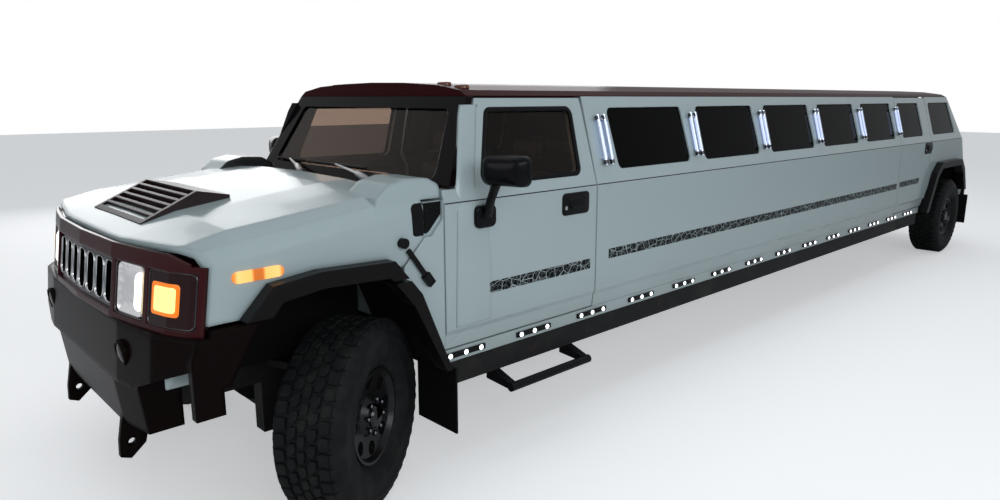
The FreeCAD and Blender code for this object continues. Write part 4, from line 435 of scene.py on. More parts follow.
black_plastic = Finish("black_moulded_plastic", (0.006, 0.006, 0.007), 0.36, IOR=1.22).soft_edges(0.006)
black_plastic.grain(0.10, 0.0004, 420.0, 3.0)
chrome = Finish("bright_chrome", (0.60, 0.61, 0.63), 0.08, 1.0)
chrome.link(chrome.step(chrome.noise(14.0), 0.3, 0.8, 0.05, 0.16), "Roughness")
plate_size, paddle_size = (0.222, 0.122, 0.007), (0.150, 0.066, 0.018)
lock_outline = [(0.011, 0), (0.011, 0.009), (0.008, 0.010)]
for side, word in sides:
    for end, along, height in (("front", 1.461, 1.256), ("rear", 7.431, 1.276)):
        body = f"{word}_{end}_door"
        axes = [(1, 0, 0), (0, 0, 1), (0, side, 0)]
        seat = np.array((front_x - along, skin(height) * side, height))
        plate = block(seat, axes, plate_size, 0.024, 0.004)
        paddle = block(seat + (-0.018, 0, 0.004), axes, paddle_size, 0.02, 0.008)
        fit(smooth(joined(f"{body}_handle", plate, paddle)), black_plastic, body)
        lock = turned(seat + (0.084, 0, -0.018), axes[2], lock_outline, 16)
        fit(smooth(shell(f"{body}_lock", lock)), chrome, body)

# Glass: a bronze windshield and front door panes that show the cab, and black
# privacy glass flush in the walls, rear doors and tailgate.
bronze_glass = Finish("bronze_glass", (0.475, 0.39, 0.335), 0.01, Transmission_Weight=1.0, IOR=1.2)
bronze_glass.grain(0.02, 0.001, 4.0, 2.0)
bronze_glass.on("windshield_glass", "left_front_door_glass", "right_front_door_glass")
privacy_glass = Finish("privacy_glass", (0.0018, 0.0018, 0.002), 0.05, IOR=1.12).grain(0.03, 0.001, 3.0, 2.0)
privacy_glass.on("side_windows", "tailgate_glass", "left_rear_door_glass", "right_rear_door_glass")


# Door window seals: extruded black rubber, pressed on round the pane of each
# front door so that it laps over the edge of the glass.
def vertex_places(mesh):
    """A mesh's vertices as rows of x, y and z."""
    places = np.empty(len(mesh.vertices) * 3)
    mesh.vertices.foreach_get("co", places)
    return places.reshape(-1, 3)


def pane_rim(node, side):
    """Points round a pane's edge: the corners of its hull in side view, in order."""
    flat = np.unique(vertex_places(nodes[node].data)[:, [0, 2]].round(4), axis=0)
    middle = flat.mean(axis=0)
    turn = np.arctan2(flat[:, 1] - middle[1], flat[:, 0] - middle[0])
    flat = flat[np.argsort(turn)]
    return np.stack([flat[:, 0], skin(flat[:, 1]) * side, flat[:, 1]], -1)


def carried(path, profile, out):
    """Rings of a profile carried along a closed path, its first axis across the path, its second outwards."""
    ahead = np.roll(path, -1, axis=0) - np.roll(path, 1, axis=0)
    ahead /= np.linalg.norm(ahead, axis=1, keepdims=True)
    out = np.broadcast_to(np.asarray(out, float), path.shape)
    across = np.cross(ahead, out)
    across /= np.linalg.norm(across, axis=1, keepdims=True)
    profile = np.array(profile)
    return path[:, None] + profile[None, :, :1] * across[:, None] + profile[None, :, 1:] * out[:, None]


rubber_black = Finish("window_rubber", (0.005, 0.005, 0.006), 0.3, IOR=1.22).grain(0.06, 0.0004, 300.0, 2.0)
glass_lean = np.array([0.0, 0.35, 0.099])
seal_profile = [(-0.013, -0.010), (-0.013, 0.001), (-0.008, 0.004), (0.006, 0.004), (0.012, 0.002),
                (0.012, -0.010)]
for side, word in sides:
    out = glass_lean * (1, side, 1)
    rim = carried(pane_rim(f"{word}_front_door_glass", side), seal_profile, out / np.linalg.norm(out))
    piece = shell(f"{word}_door_window_seal", rim, looped=True)
    fit(smooth(piece), rubber_black, f"{word}_front_door")

# Door head and post seals: black rubber lips close the gap over each door, under
# the roof's edge, and the one behind it. They are pushed on flanges inside.
head_lengths = ((2.53, 3.36), (-3.355, -2.415))
head_lip = np.array([(0.755, 1.802), (0.762, 1.802), (0.762, 1.856), (0.755, 1.856)])
lips = [points(np.array(ends)[:, None], head_lip[:, 0] * side, head_lip[:, 1])
        for side, _ in sides for ends in head_lengths]
fit(shell("door_head_seals", np.stack(lips)), rubber_black)
post_lengths = ((2.500, 2.536), (-3.384, -3.346))
post_heights = np.array([1.420, 1.457, 1.790])
post_inside = np.interp(post_heights, [1.457, 1.800], [0.8754, 0.7774])
post_lip = post_inside[:, None] + np.array([-0.008, -0.008, 0.0003, 0.0003])
lips = [points(np.array(ends)[[0, 1, 1, 0]], post_lip * side, post_heights[:, None])
        for side, _ in sides for ends in post_lengths]
fit(shell("door_post_seals", np.stack(lips)), rubber_black)

# Roof, windshield surround and nose: moulded panels in a deep burgundy gloss, the
# surround nearly black, with small lamps on the roof's lip.
burgundy = Finish("burgundy_gloss_coat", (0.045, 0.006, 0.008), 0.14, IOR=1.3).soft_edges(0.008)
burgundy.grain(0.015, 0.0003, 180.0, 2.0).on("front_fascia")
roof_coat = Finish("roof_coat", (0.040, 0.006, 0.007), 0.30, IOR=1.10).soft_edges(0.010)
roof_coat.grain(0.015, 0.0003, 180.0, 2.0).on("roof_shell")
black_gloss = Finish("black_gloss_coat", (0.004, 0.002, 0.003), 0.14, IOR=1.2).soft_edges(0.008)
black_gloss.grain(0.015, 0.0003, 180.0, 2.0).on("windshield_frame")
unlit_amber = Finish("unlit_amber_lens", (0.16, 0.035, 0.008), 0.15).grain(0.1, 0.0008, 90.0, 2.0)
roof_crown = np.array([(0.0, 1.906), (0.293, 1.901), (0.569, 1.888), (0.756, 1.860), (0.813, 1.830)])
lamp_sides = np.array([-0.66, -0.52, 0.52, 0.66])
lamp_places = points(3.27, lamp_sides, np.interp(np.abs(lamp_sides), *roof_crown.T) - 0.004)
roof_lamps = block(lamp_places, [(0, 1, 0), (-1, 0, 0), (0, 0, 1)], (0.085, 0.050, 0.017), 0.02, 0.008)
fit(smooth(shell("roof_marker_lamps", roof_lamps)), unlit_amber)

# Wipers: two painted steel arms pivot in the well ahead of the windshield, each
# with a spring box and a rubber blade that lies on the glass.
def bar(places, across, up, width, thick):
    """Rings of a flat bar through places, each ring a rectangle with cut corners across it."""
    places = np.asarray(places, float)
    corner = np.array([(0.5, 0.3), (0.35, 0.5), (-0.35, 0.5), (-0.5, 0.3), (-0.5, -0.3), (-0.35, -0.5),
                       (0.35, -0.5), (0.5, -0.3)])
    width, thick = np.broadcast_to(width, len(places)), np.broadcast_to(thick, len(places))
    return (places[:, None] + corner[None, :, :1] * width[:, None, None] * np.array(across, float)
            + corner[None, :, 1:] * thick[:, None, None] * np.array(up, float))


steel_black = Finish("satin_steel", (0.30, 0.30, 0.31), 0.35, 0.8)
lean = np.array([0.88, 0.0, 0.47])
post_outline = [(0.020, 0), (0.020, 0.014), (0.012, 0.020), (0.012, 0.062)]
for number, (pivot_y, tip_y, half_blade) in enumerate(((0.45, -0.07, 0.30), (-0.26, -0.60, 0.17))):
    pivot, tip = np.array([3.70, pivot_y, 1.412]), np.array([3.586, tip_y, 1.459])
    path = pivot + (tip - pivot) * np.array([0.0, 0.12, 0.34, 0.40, 1.0])[:, None]
    path[1:4, 2] += (0.004, 0.010, 0.008)
    across = np.cross(tip - pivot, lean)
    across /= np.linalg.norm(across)
    arm = bar(path, across, lean, [0.030, 0.034, 0.030, 0.016, 0.012], [0.020, 0.022, 0.018, 0.008, 0.006])
    post = turned((3.70, pivot_y, 1.360), (0, 0, 1), post_outline, 16)
    fit(smooth(joined(f"wiper_arm_{number}", arm, post)), steel_black)
    span = np.linspace(-1, 1, 9)[:, None] * np.array([0.0, half_blade, 0.0]) + tip - lean * 0.006
    blade = bar(span, (-0.47, 0, 0.88), lean, 0.010 + 0.006 * (np.arange(9) % 2), 0.016)
    fit(smooth(shell(f"wiper_blade_{number}", blade)), rubber_black)

# Cowl grille inserts: a black moulded plate with slanted fins is clipped into the
# recess behind each hood corner, and a thin plate carries its black on over the
# corner. The hood's own vent is a dark moulded wedge.
vent_coat = Finish("vent_burgundy_plastic", (0.014, 0.004, 0.005), 0.28, IOR=1.3).soft_edges(0.003)
vent_coat.grain(0.06, 0.0004, 300.0, 3.0).on("hood_vent")
black_plastic.on("hood_latches", "latch_handles", "rocker_lights", "side_steps")
insert_outline = np.array([(3.755, 1.358), (3.748, 1.350), (3.748, 1.222), (3.736, 1.216), (3.716, 1.226),
                           (3.650, 1.298), (3.6445, 1.312), (3.6445, 1.358)])
insert_faces = np.array([[0.9385], [0.9425]])
fin_front, fin_y, fin_pitch = 3.744, 0.9445, 0.016
corner_heights = np.array([1.214, 1.222, 1.3225, 1.340, 1.355, 1.361])
corner_fronts = np.array([3.805, 3.818, 3.8245, 3.8225, 3.812, 3.796])
corner_rears = np.full(6, 3.7605)
hood_side = np.interp(corner_heights, [1.200, 1.3225, 1.370], [0.957, 0.957, 0.9375])
corner_faces = hood_side[:, None] + np.array([-0.002, -0.002, 0.0018, 0.0018])
for side, word in sides:
    rings = points(insert_outline[:, 0], side * insert_faces, insert_outline[:, 1])
    fins = []
    for height in np.arange(1.24, 1.352, fin_pitch):
        inner = np.interp(height, [1.226, 1.298, 1.36], [3.722, 3.654, 3.650])
        path = [(inner, fin_y * side, height), (fin_front, fin_y * side, height)]
        fins.append(bar(path, (0, 0.5 * side, 0.87), (0, -0.87 * side, 0.5), 0.008, 0.003))
    piece = joined(f"{word}_cowl_grille", rings, np.stack(fins))
    fit(piece, black_plastic)
    corner = points(np.stack([corner_rears, corner_fronts, corner_fronts, corner_rears], -1),
                    corner_faces * side, corner_heights[:, None])
    fit(shell(f"{word}_hood_corner_plate", corner), black_plastic, "hood")

# Black mouldings: bumpers, flares, liners and flaps are moulded in grained black
# plastic or rubber, matt where stones strike them.
flare_plastic = Finish("flare_plastic", (0.0055, 0.005, 0.0055), 0.34, IOR=1.22).soft_edges(0.010)
flare_plastic.grain(0.10, 0.0004, 420.0, 3.0).on("hood_flares", "wheel_flares")
bumper_plastic = Finish("bumper_plastic", (0.006, 0.003, 0.003), 0.20, IOR=1.12).soft_edges(0.030)
bumper_plastic.grain(0.06, 0.0004, 350.0, 3.0).on("front_bumper", "rear_bumper")
liner_plastic = Finish("liner_plastic", (0.006, 0.006, 0.006), 0.85, IOR=1.2).grain(0.2, 0.001, 60.0, 5.0)
liner_plastic.on("arch_liners", "mud_flaps")

# Bumper end plates: a small steel plate, cut from sheet and painted, hangs from
# each end of the front bumper.
end_spots = [(4.822, 0.795, 0.782), (4.822, -0.801, 0.782)]
end_plates = block(end_spots, [(1, 0, 0), (0, 0, 1), (0, 1, 0)], (0.098, 0.080, 0.006), 0.006, 0.002)
fit(smooth(shell("bumper_end_plates", end_plates)), pale_coat)

# Mirrors: a rounded moulded housing on a slanting arm and a foot plate, with the
# silvered glass set in its rear face.
mirror_plastic = Finish("mirror_plastic", (0.004, 0.004, 0.005), 0.25, IOR=1.22)
mirror_plastic.grain(0.06, 0.0004, 420.0, 3.0)
silvered = Finish("silvered_glass", (0.85, 0.87, 0.88), 0.02, 1.0).grain(0.01, 0.001, 5.0, 1.0)
head_width, head_height = 0.219, 0.147
head_middle, head_level = 1.125, 1.4925
head_rear, head_front, rear_rake, front_rake = 3.3755, 3.489, 0.037, 0.073
head_layers = np.array([(0.02, 0.004), (0.10, 0.0), (0.45, 0.001), (0.75, 0.008), (0.92, 0.022),
                        (1.0, 0.045)])
depth_share = head_layers[:, 0][:, None]
drawn_share = head_layers[:, 1][:, None, None] / np.array([0.110, 0.074])
outline = ring(head_width, head_height, 0.038, 6) * (1 - drawn_share)
outboard = (outline[..., 0] + head_width / 2) / head_width
rear, front = head_rear - rear_rake * outboard, head_front - front_rake * outboard
glass = ring(0.198, 0.126, 0.03, 6)
glass_x = head_rear - rear_rake * (glass[:, 0] + head_width / 2) / head_width + np.array([[0.0], [0.004]])
arm_places = np.array([(3.392, 0.978, 1.262), (3.394, 0.992, 1.290), (3.402, 1.020, 1.350),
                       (3.408, 1.050, 1.400), (3.412, 1.066, 1.428)])
arm_widths, arm_thickness = [0.060, 0.050, 0.042, 0.046, 0.056], 0.030
foot_size = (0.131, 0.111, 0.024)
for side, word in sides:
    body = f"{word}_front_door"
    head = points(rear + (front - rear) * depth_share, (head_middle + outline[..., 0]) * side,
                  head_level + outline[..., 1])
    arm = bar(arm_places * (1, side, 1), (1, 0, 0), (0, 0.85 * side, -0.5), arm_widths, arm_thickness)
    foot = block((3.392, 0.957 * side, 1.262), [(1, 0, 0), (0, 0, 1), (0, side, 0)], foot_size, 0.03, 0.008)
    housing = smooth(joined(f"{word}_mirror_housing", head, arm, foot), 50)
    fit(housing, mirror_plastic, body)
    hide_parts(f"{word}_mirror")
    pane_rings = points(glass_x, (head_middle + glass[:, 0]) * side, head_level + glass[:, 1])
    pane = shell(f"{word}_mirror_glass", pane_rings)
    fit(pane, silvered, body)
    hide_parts(f"{word}_mirror")


# Grille: a moulded plate in dark bright plating, with a chromed lip round each of
# its slots and a finned radiator behind it.
nose_shares = np.array([(0, 0), (0.42, 0.08), (0.63, 0.25), (0.75, 0.37), (0.85, 0.49), (0.945, 0.73),
                        (1, 1)])
nose_out = np.array([0.99, 0.0, 0.12])
nose_reach, nose_half_width, nose_top = 0.745, 0.957, 1.222
nose_lean, nose_lean_height, nose_sweep = 0.037, 0.260, 0.183


def nose_x(y, z, recess=0.0):
    """Front of the leaning, swept nose: foot line, less its lean by height, less its sweep by width."""
    lean = nose_lean * (nose_top - z) / nose_lean_height
    sweep = nose_sweep * np.interp(np.abs(y) / nose_half_width, *nose_shares.T)
    return front_x + nose_reach + lean - sweep - recess


def finer(flat, parts=5):
    """Points round an outline with each of its sides cut in equal parts, so that it can follow a curve."""
    share = np.arange(parts)[None, :, None] / parts
    return (flat[:, None] * (1 - share) + np.roll(flat, -1, axis=0)[:, None] * share).reshape(-1, 2)


def nose_plate(left, right, low, high, radius, layers, side=1):
    """Rings of a plate that follows the nose: each layer has a distance out and a drawing in."""
    rings = []
    for out, drawn in layers:
        flat = finer(ring(right - left - drawn * 2, high - low - drawn * 2, max(radius - drawn, 0.004), 3))
        y, z = (left + right) / 2 + flat[:, 0], (low + high) / 2 + flat[:, 1]
        rings.append(points(nose_x(y, z) + out, y * side, z))
    return np.stack(rings)


grille_chrome = Finish("grille_plating", (0.11, 0.11, 0.115), 0.16, 1.0).soft_edges(0.006).on("grille_bars")
lip_profile = [(-0.003, -0.004), (-0.003, 0.002), (0.0, 0.004), (0.003, 0.002), (0.003, -0.004)]
slots, grille_width = 7, 0.822
slot_pitch = grille_width / slots
slot_width, slot_height, slot_corner, slot_level = slot_pitch - 0.019, 0.172, 0.033, 1.092
for number in range(slots):
    slot_middle = slot_pitch * (number + 0.5) - grille_width / 2
    flat = ring(slot_width, slot_height, slot_corner, 5) + (slot_middle, slot_level)
    path = points(nose_x(*flat.T, 0.014), *flat.T)
    lip = shell(f"grille_lip_{number}", carried(path, lip_profile, nose_out), looped=True)
    fit(smooth(lip, 60), chrome)
core_black = Finish("radiator_black", (0.008, 0.008, 0.009), 0.7, IOR=1.2)
core_fins = core_black.node("TexWave", Vector=core_black.place, Scale=90.0)
core_fins.bands_direction = "Z"
core_black.bump(core_fins.outputs["Fac"], 0.6, 0.003)
core = nose_plate(-0.402, 0.402, 0.992, 1.192, 0.01, [(-0.092, 0), (-0.078, 0), (-0.078, 0.09)])
fit(shell("radiator_core", core), core_black)

# Head and corner lamps: moulded housings under the nose's swept face, with a
# silvered reflector and a lit lens, and a lit amber block in the outer corner.
lamp_housing = Finish("lamp_housing", (0.022, 0.005, 0.006), 0.07, IOR=1.45).grain(0.03, 0.001, 12.0, 2.0)
lamp_housing.on("front_lamps")
reflector = Finish("lamp_reflector", (0.66, 0.66, 0.68), 0.16, 0.85, Emission_Color=(1, 1, 1, 1),
                   Emission_Strength=0.22)
flutes = reflector.node("TexVoronoi", Vector=reflector.stretched(1, 1, 0.7), Scale=34.0)
reflector.bump(flutes.outputs["Distance"], 0.5, 0.004)
lit_white = Finish("lit_lens", (1, 1, 1), 0.1, Emission_Color=(1.0, 0.98, 0.95, 1), Emission_Strength=1.6)
lit_warm = Finish("warm_strip", (0.9, 0.62, 0.2), 0.1, Emission_Color=(1.0, 0.72, 0.25, 1),
                  Emission_Strength=0.8)
lit_orange = Finish("amber_frame", (0.7, 0.16, 0.01), 0.12, Emission_Color=(1.0, 0.22, 0.01, 1),
                    Emission_Strength=0.6)
lit_yellow = Finish("amber_core", (1.0, 0.7, 0.3), 0.12, Emission_Color=(1.0, 0.62, 0.2, 1),
                    Emission_Strength=1.1)
lamp_parts = [
    ("headlamp_reflector", reflector, "lamp_glass", (0.447, 0.640, 0.992, 1.190, 0.026),
     [(-0.024, 0), (-0.010, 0), (-0.009, 0.004), (-0.014, 0.010), (-0.019, 0.03), (-0.0205, 0.06)]),
    ("headlamp_lens", lit_white, "lamp_glass", (0.583, 0.637, 1.015, 1.165, 0.026),
     [(-0.022, 0), (-0.011, 0), (-0.006, 0.006), (-0.003, 0.014), (-0.002, 0.022)]),
    ("headlamp_strip", lit_warm, "amber_lens", (0.647, 0.662, 0.996, 1.180, 0.006),
     [(-0.024, 0), (-0.012, 0), (-0.010, 0.003)]),
    ("corner_amber_frame", lit_orange, "amber_lens", (0.716, 0.864, 1.030, 1.153, 0.014),
     [(-0.0065, 0), (-0.004, 0), (-0.003, 0.003)]),
    ("corner_amber", lit_yellow, "amber_lens", (0.733, 0.848, 1.044, 1.139, 0.012),
     [(-0.0065, 0), (-0.002, 0), (0.0, 0.004), (0.0, 0.03)]),
]
lamp_low, lamp_high, rim_corner = 0.989, 1.196, 0.02
lamp_widths = ((0.443, 0.664), (0.697, 0.925))
for side, word in sides:
    for name, finish, slot, outline, layers in lamp_parts:
        fit(smooth(shell(f"{word}_{name}", nose_plate(*outline, layers, side))), finish)
    for number, (left, right) in enumerate(lamp_widths):
        flat = finer(ring(right - left, lamp_high - lamp_low, rim_corner, 3))
        y, z = (left + right) / 2 + flat[:, 0], (lamp_low + lamp_high) / 2 + flat[:, 1]
        rim_rings = carried(points(nose_x(y, z, 0.004), y * side, z), np.array(lip_profile) * 0.7, nose_out)
        rim = shell(f"{word}_lamp_rim_{number}", rim_rings, looped=True)
        fit(smooth(rim, 60), grille_chrome)

# Fog lamps: small round lamps, each with a moulded rim and a domed glass, screwed
# into the bumper's face. They are unlit.
fog_glass = Finish("fog_lamp_glass", (0.02, 0.02, 0.022), 0.08, 0.4, IOR=1.3).grain(0.15, 0.001, 60.0, 2.0)
fog_spots = np.array([(4.9415, 0.541, 0.841), (4.9415, -0.541, 0.841)])
fog_axis = (1, 0, -0.1)
fog_rim = [(0.056, -0.010), (0.056, 0.006), (0.052, 0.010), (0.046, 0.008), (0.044, 0.0)]
fog_dome = [(0.044, -0.004), (0.042, 0.003), (0.030, 0.008), (0.012, 0.010)]
for name, outline, finish, slot in (("rims", fog_rim, bumper_plastic, "black_plastic"),
                                    ("glasses", fog_dome, fog_glass, "lamp_glass")):
    fit(smooth(shell(f"fog_lamp_{name}", turned(fog_spots, fog_axis, outline, 32))), finish)

# Side markers: one long amber moulding on each side of the hood, with a lit part
# at each end of its length.
marker_middle, marker_reach = 4.550, 0.103
marker = Finish("side_marker_lens", (0.7, 0.2, 0.02), 0.12, Emission_Strength=1.0)
from_middle = marker.math("ABSOLUTE", marker.math("SUBTRACT", marker.axis("X"), marker_middle))
glow = marker.colors(marker.step(from_middle, 0.0, marker_reach), (0.0, (0.30, 0.05, 0.0)),
                     (0.17, (0.35, 0.06, 0.0)), (0.28, (1.0, 0.55, 0.16)), (0.80, (1.0, 0.62, 0.22)),
                     (0.95, (0.75, 0.16, 0.01)))
marker.link(glow, "Emission Color").on("side_markers")

# Rocker lights: sealed strips under the doors and the body, with three small lit
# domes in each group.
lit_led = Finish("led_dome", (1, 1, 1), 0.1, Emission_Color=(0.96, 0.98, 1.0, 1), Emission_Strength=3.0)
first_group, group_pitch, group_count = 0.665, 0.4886, 14
groups = front_x - first_group - group_pitch * np.arange(group_count)
lights = (groups[:, None] + np.array([0.10, 0.0, -0.10])).ravel()
sill_y, sill_z = 0.9475, 0.594
dome_outline = [(0.0125, 0), (0.0125, 0.002), (0.009, 0.006), (0.004, 0.0075)]
domes = [turned(points(lights, sill_y * side, sill_z), (0, side, 0), dome_outline, 12) for side, _ in sides]
fit(smooth(shell("rocker_led_domes", np.concatenate(domes))), lit_led)

# Tube lights: paired glass tubes with a cold glow, held at both ends by plated
# brackets between the side windows.
pair_places = np.array([2.408, 1.442, 0.492, -0.459, -1.409, -2.360])
half_pitch, half_gap = 0.47535, 0.028
tube_glow = Finish("tube_light_glass", (0.60, 0.66, 0.80), 0.15, 0.3, Emission_Strength=0.75)
tube_height = tube_glow.axis("Z")
above_foot = tube_glow.step(tube_height, 1.484, 1.490)
lit_part = tube_glow.math("MULTIPLY", above_foot, tube_glow.step(tube_height, 1.694, 1.688))
from_first = tube_glow.math("SUBTRACT", tube_glow.axis("X"), pair_places[0])
from_pair = tube_glow.math("ABSOLUTE", tube_glow.math("WRAP", from_first, half_pitch, -half_pitch))
from_tube = tube_glow.math("ABSOLUTE", tube_glow.math("SUBTRACT", from_pair, half_gap))
lit_part = tube_glow.math("MULTIPLY", lit_part, tube_glow.step(from_tube, 0.0095, 0.0065))
tube_glow.link(tube_glow.mix(lit_part, (0.0, 0.0, 0.0), (0.50, 0.60, 1.0)), "Emission Color")
tube_glow.link(tube_glow.math("SUBTRACT", 1.0, lit_part), "Metallic")
tube_glow.on("tube_lights")
dark_cap = Finish("tube_end_cap", (0.05, 0.05, 0.055), 0.12, 1.0).grain(0.02, 0.0003, 50.0)
tube_axis = np.array([0.0, -0.0829, 0.285])
tube_axis /= np.linalg.norm(tube_axis)
tube_foot_y, tube_foot_z, tube_lean = 0.9475, 1.4505, 0.2909
tubes = np.concatenate([pair_places + half_gap, pair_places - half_gap])
band_outline = [(0.0125, -0.012), (0.0145, -0.010), (0.0145, 0.010), (0.0125, 0.012)]
for side, word in sides:
    rings = []
    for height in (1.4635, 1.7115):
        middle = points(tubes, (tube_foot_y - tube_lean * (height - tube_foot_z)) * side, height)
        rings.append(turned(middle, tube_axis * (1, side, 1), band_outline, 16))
    fit(smooth(shell(f"{word}_tube_end_bands", np.concatenate(rings))), dark_cap)

# Wheels: all-terrain tyres, five rows of staggered blocks and lugs on both
# shoulders moulded on a rounded carcass, on painted steel rims with nuts and a cap.
tyre_rubber = Finish("tyre_rubber", (0.011, 0.012, 0.0125), 0.62, IOR=1.22)
grey_dust = tyre_rubber.step(tyre_rubber.noise(14.0, 5.0), 0.45, 0.75)
tyre_rubber.link(tyre_rubber.mix(grey_dust, (0.007, 0.008, 0.0085), (0.018, 0.018, 0.0175)), "Base Color")
tyre_rubber.grain(0.12, 0.0006, 260.0, 3.0)
rim_metal = Finish("dark_wheel_metal", (0.02, 0.02, 0.021), 0.26, 0.6, IOR=1.4).soft_edges(0.003)
rim_metal.on(*[name for name in nodes if name.endswith("_rim")])
half_carcass = np.array([(0.2145, 0.100), (0.2165, 0.112), (0.235, 0.126), (0.262, 0.1465), (0.286, 0.1505),
                         (0.289, 0.1525), (0.295, 0.1530), (0.298, 0.1520), (0.332, 0.1560), (0.352, 0.1550),
                         (0.355, 0.1562), (0.360, 0.1555), (0.363, 0.1540), (0.393, 0.1490), (0.408, 0.1400),
                         (0.4185, 0.128), (0.4235, 0.108), (0.4245, 0.050)])
carcass = np.concatenate([half_carcass, half_carcass[::-1] * (1, -1)])
tread_rows = [
    (0.000, 0.00, [(-25, -15), (3, -18), (25, -9), (25, 14), (-3, 18), (-25, 9)]),
    (0.0455, 0.50, [(-26, -18), (6, -21), (26, -8), (23, 20), (-9, 18), (-27, 6)]),
    (-0.0455, 0.45, [(26, 18), (-6, 21), (-26, 8), (-23, -20), (9, -18), (27, -6)]),
    (0.0950, 0.05, [(-24, -20), (20, -22), (26, -5), (23, 23), (-25, 23), (-29, 0)]),
    (-0.0950, 0.95, [(24, 20), (-20, 22), (-26, 5), (-23, -23), (25, -23), (29, 0)]),
]
pitches = 42
pitch_turn = 2 * np.pi / pitches


def tyre_blocks():
    """Rings of every block and lug, in wheel measure: ahead, outboard, up, about the wheel's middle."""
    turn = np.arange(pitches) * 2 * np.pi / pitches
    stacks = []
    for across, shift, outline in tread_rows:
        flat = np.array(outline) / 1000.0
        layers = []
        for radius, drawn in ((0.4200, 1.0), (0.4340, 0.96), (0.4362, 0.90)):
            angle = turn[:, None] + shift * pitch_turn + flat[:, 0] * drawn / radius
            layers.append(points(radius * np.cos(angle), across + flat[:, 1] * drawn, radius * np.sin(angle)))
        stacks.append(np.stack(layers, 1))
    lug = np.array([(-17, 396), (-9, 388), (10, 388), (19, 398), (21, 429), (-20, 429)]) / 1000.0
    for hand, shift in ((1, 0.05), (-1, 0.95)):
        layers = []
        for out, drawn in ((-0.014, 1.0), (-0.002, 0.96), (-0.0006, 0.86)):
            radius = 0.41 + (lug[:, 1] - 0.41) * drawn
            angle = turn[:, None] + shift * pitch_turn + lug[:, 0] * drawn / radius
            reach = np.interp(radius, [0.262, 0.332, 0.393, 0.4365], [0.148, 0.1575, 0.1528, 0.1197]) + out
            layers.append(points(radius * np.cos(angle), reach * hand, radius * np.sin(angle)))
        stacks.append(np.stack(layers, 1))
    return np.concatenate(stacks)


blocks = tyre_blocks()
nut_count, nut_circle, nut_out, first_nut = 8, 0.0755, 0.111, 0.2
nut_outline = [(0.0125, 0), (0.0125, 0.012), (0.008, 0.017), (0.004, 0.018)]
cap_out, cap_outline = 0.100, [(0.054, 0), (0.054, 0.020), (0.047, 0.029), (0.020, 0.033)]
turn = np.arange(nut_count) * np.pi / 4 + first_nut
nut_spots = points(nut_circle * np.cos(turn), nut_out, nut_circle * np.sin(turn))
for joint in frame["joints"]:
    if not joint["name"].endswith("_wheel_spin"):
        continue
    word = joint["name"].removesuffix("_wheel_spin")
    body = joint["child"]
    centre = np.array(joint["pos_m"])
    outboard = np.array(joint["axis"], float)
    outboard *= 1 if (outboard[1] > 0) == word.startswith("left") else -1
    basis = np.stack([np.cross(outboard, (0, 0, 1)), outboard, (0, 0, 1)])
    tyre = smooth(shell(f"{word}_tyre_carcass", turned(centre, outboard, carcass, 96), looped=True), 60)
    tread = shell(f"{word}_tyre_tread", centre + blocks @ basis)
    for piece in (tyre, tread):
        fit(piece, tyre_rubber, body)
        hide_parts(f"{word}_tyre")
    nuts = turned(centre + nut_spots @ basis, outboard, nut_outline, 6)
    cap = turned(centre + outboard * cap_out, outboard, cap_outline, 40)
    fit(smooth(joined(f"{word}_wheel_nuts", nuts, cap), 30), dark_cap, body)

# Front seats: stitched leather cushions and backs, stuffed until they crown, on
# moulded bases that are bolted to the floor.
voxel, cloth_steps = 0.010, 20
leather = Finish("seat_leather", (0.030, 0.028, 0.027), 0.45, IOR=1.4).grain(0.25, 0.0006, 160.0, 5.0)
cab_plastic = Finish("cab_plastic", (0.014, 0.014, 0.015), 0.5, IOR=1.35).soft_edges(0.012)
cab_plastic.grain(0.10, 0.0004, 500.0, 3.0).on("dashboard", "steering_wheel")


def stuffed(name, rings, cap):
    """A closed skin evened by voxels, blown up as cloth, no point further than the cap, then settled."""
    piece = shell(name, rings)
    even = piece.modifiers.new("even_skin", "REMESH")
    even.mode, even.voxel_size = "VOXEL", voxel
    bpy.context.view_layer.update()
    piece.data = bpy.data.meshes.new_from_object(piece.evaluated_get(bpy.context.evaluated_depsgraph_get()))
    piece.modifiers.clear()
    start = vertex_places(piece.data)
    cloth = piece.modifiers.new("stuffing", "CLOTH")
    cloth.settings.use_pressure = True
    cloth.settings.uniform_pressure_force = 4.0
    cloth.settings.effector_weights.gravity = 0.0
    cloth.point_cache.frame_start, cloth.point_cache.frame_end = 1, cloth_steps
    for step in range(1, cloth_steps + 1):
        scene.frame_set(step)
    moved = vertex_places(piece.evaluated_get(bpy.context.evaluated_depsgraph_get()).data) - start
    piece.modifiers.clear()
    far = np.linalg.norm(moved, axis=1, keepdims=True)
    moved *= np.minimum(1.0, cap / np.maximum(far, 1e-9))
    piece.data.vertices.foreach_set("co", (start + moved).ravel())
    scene.frame_set(1)
    piece.data.shade_smooth()
    return rounded(piece)


def rounded(piece):
    """A piece with one round of subdivision over it."""
    round_off = piece.modifiers.new("round_off", "SUBSURF")
    round_off.levels = round_off.render_levels = 1
    return piece


def mirrored(piece, name):
    """A piece's twin across the middle of the car, its faces turned back outwards."""
    mesh = piece.data.copy()
    mesh.name = name
    mesh.vertices.foreach_set("co", (vertex_places(mesh) * (1, -1, 1)).ravel())
    mesh.flip_normals()
    return rounded(placed(name, mesh))


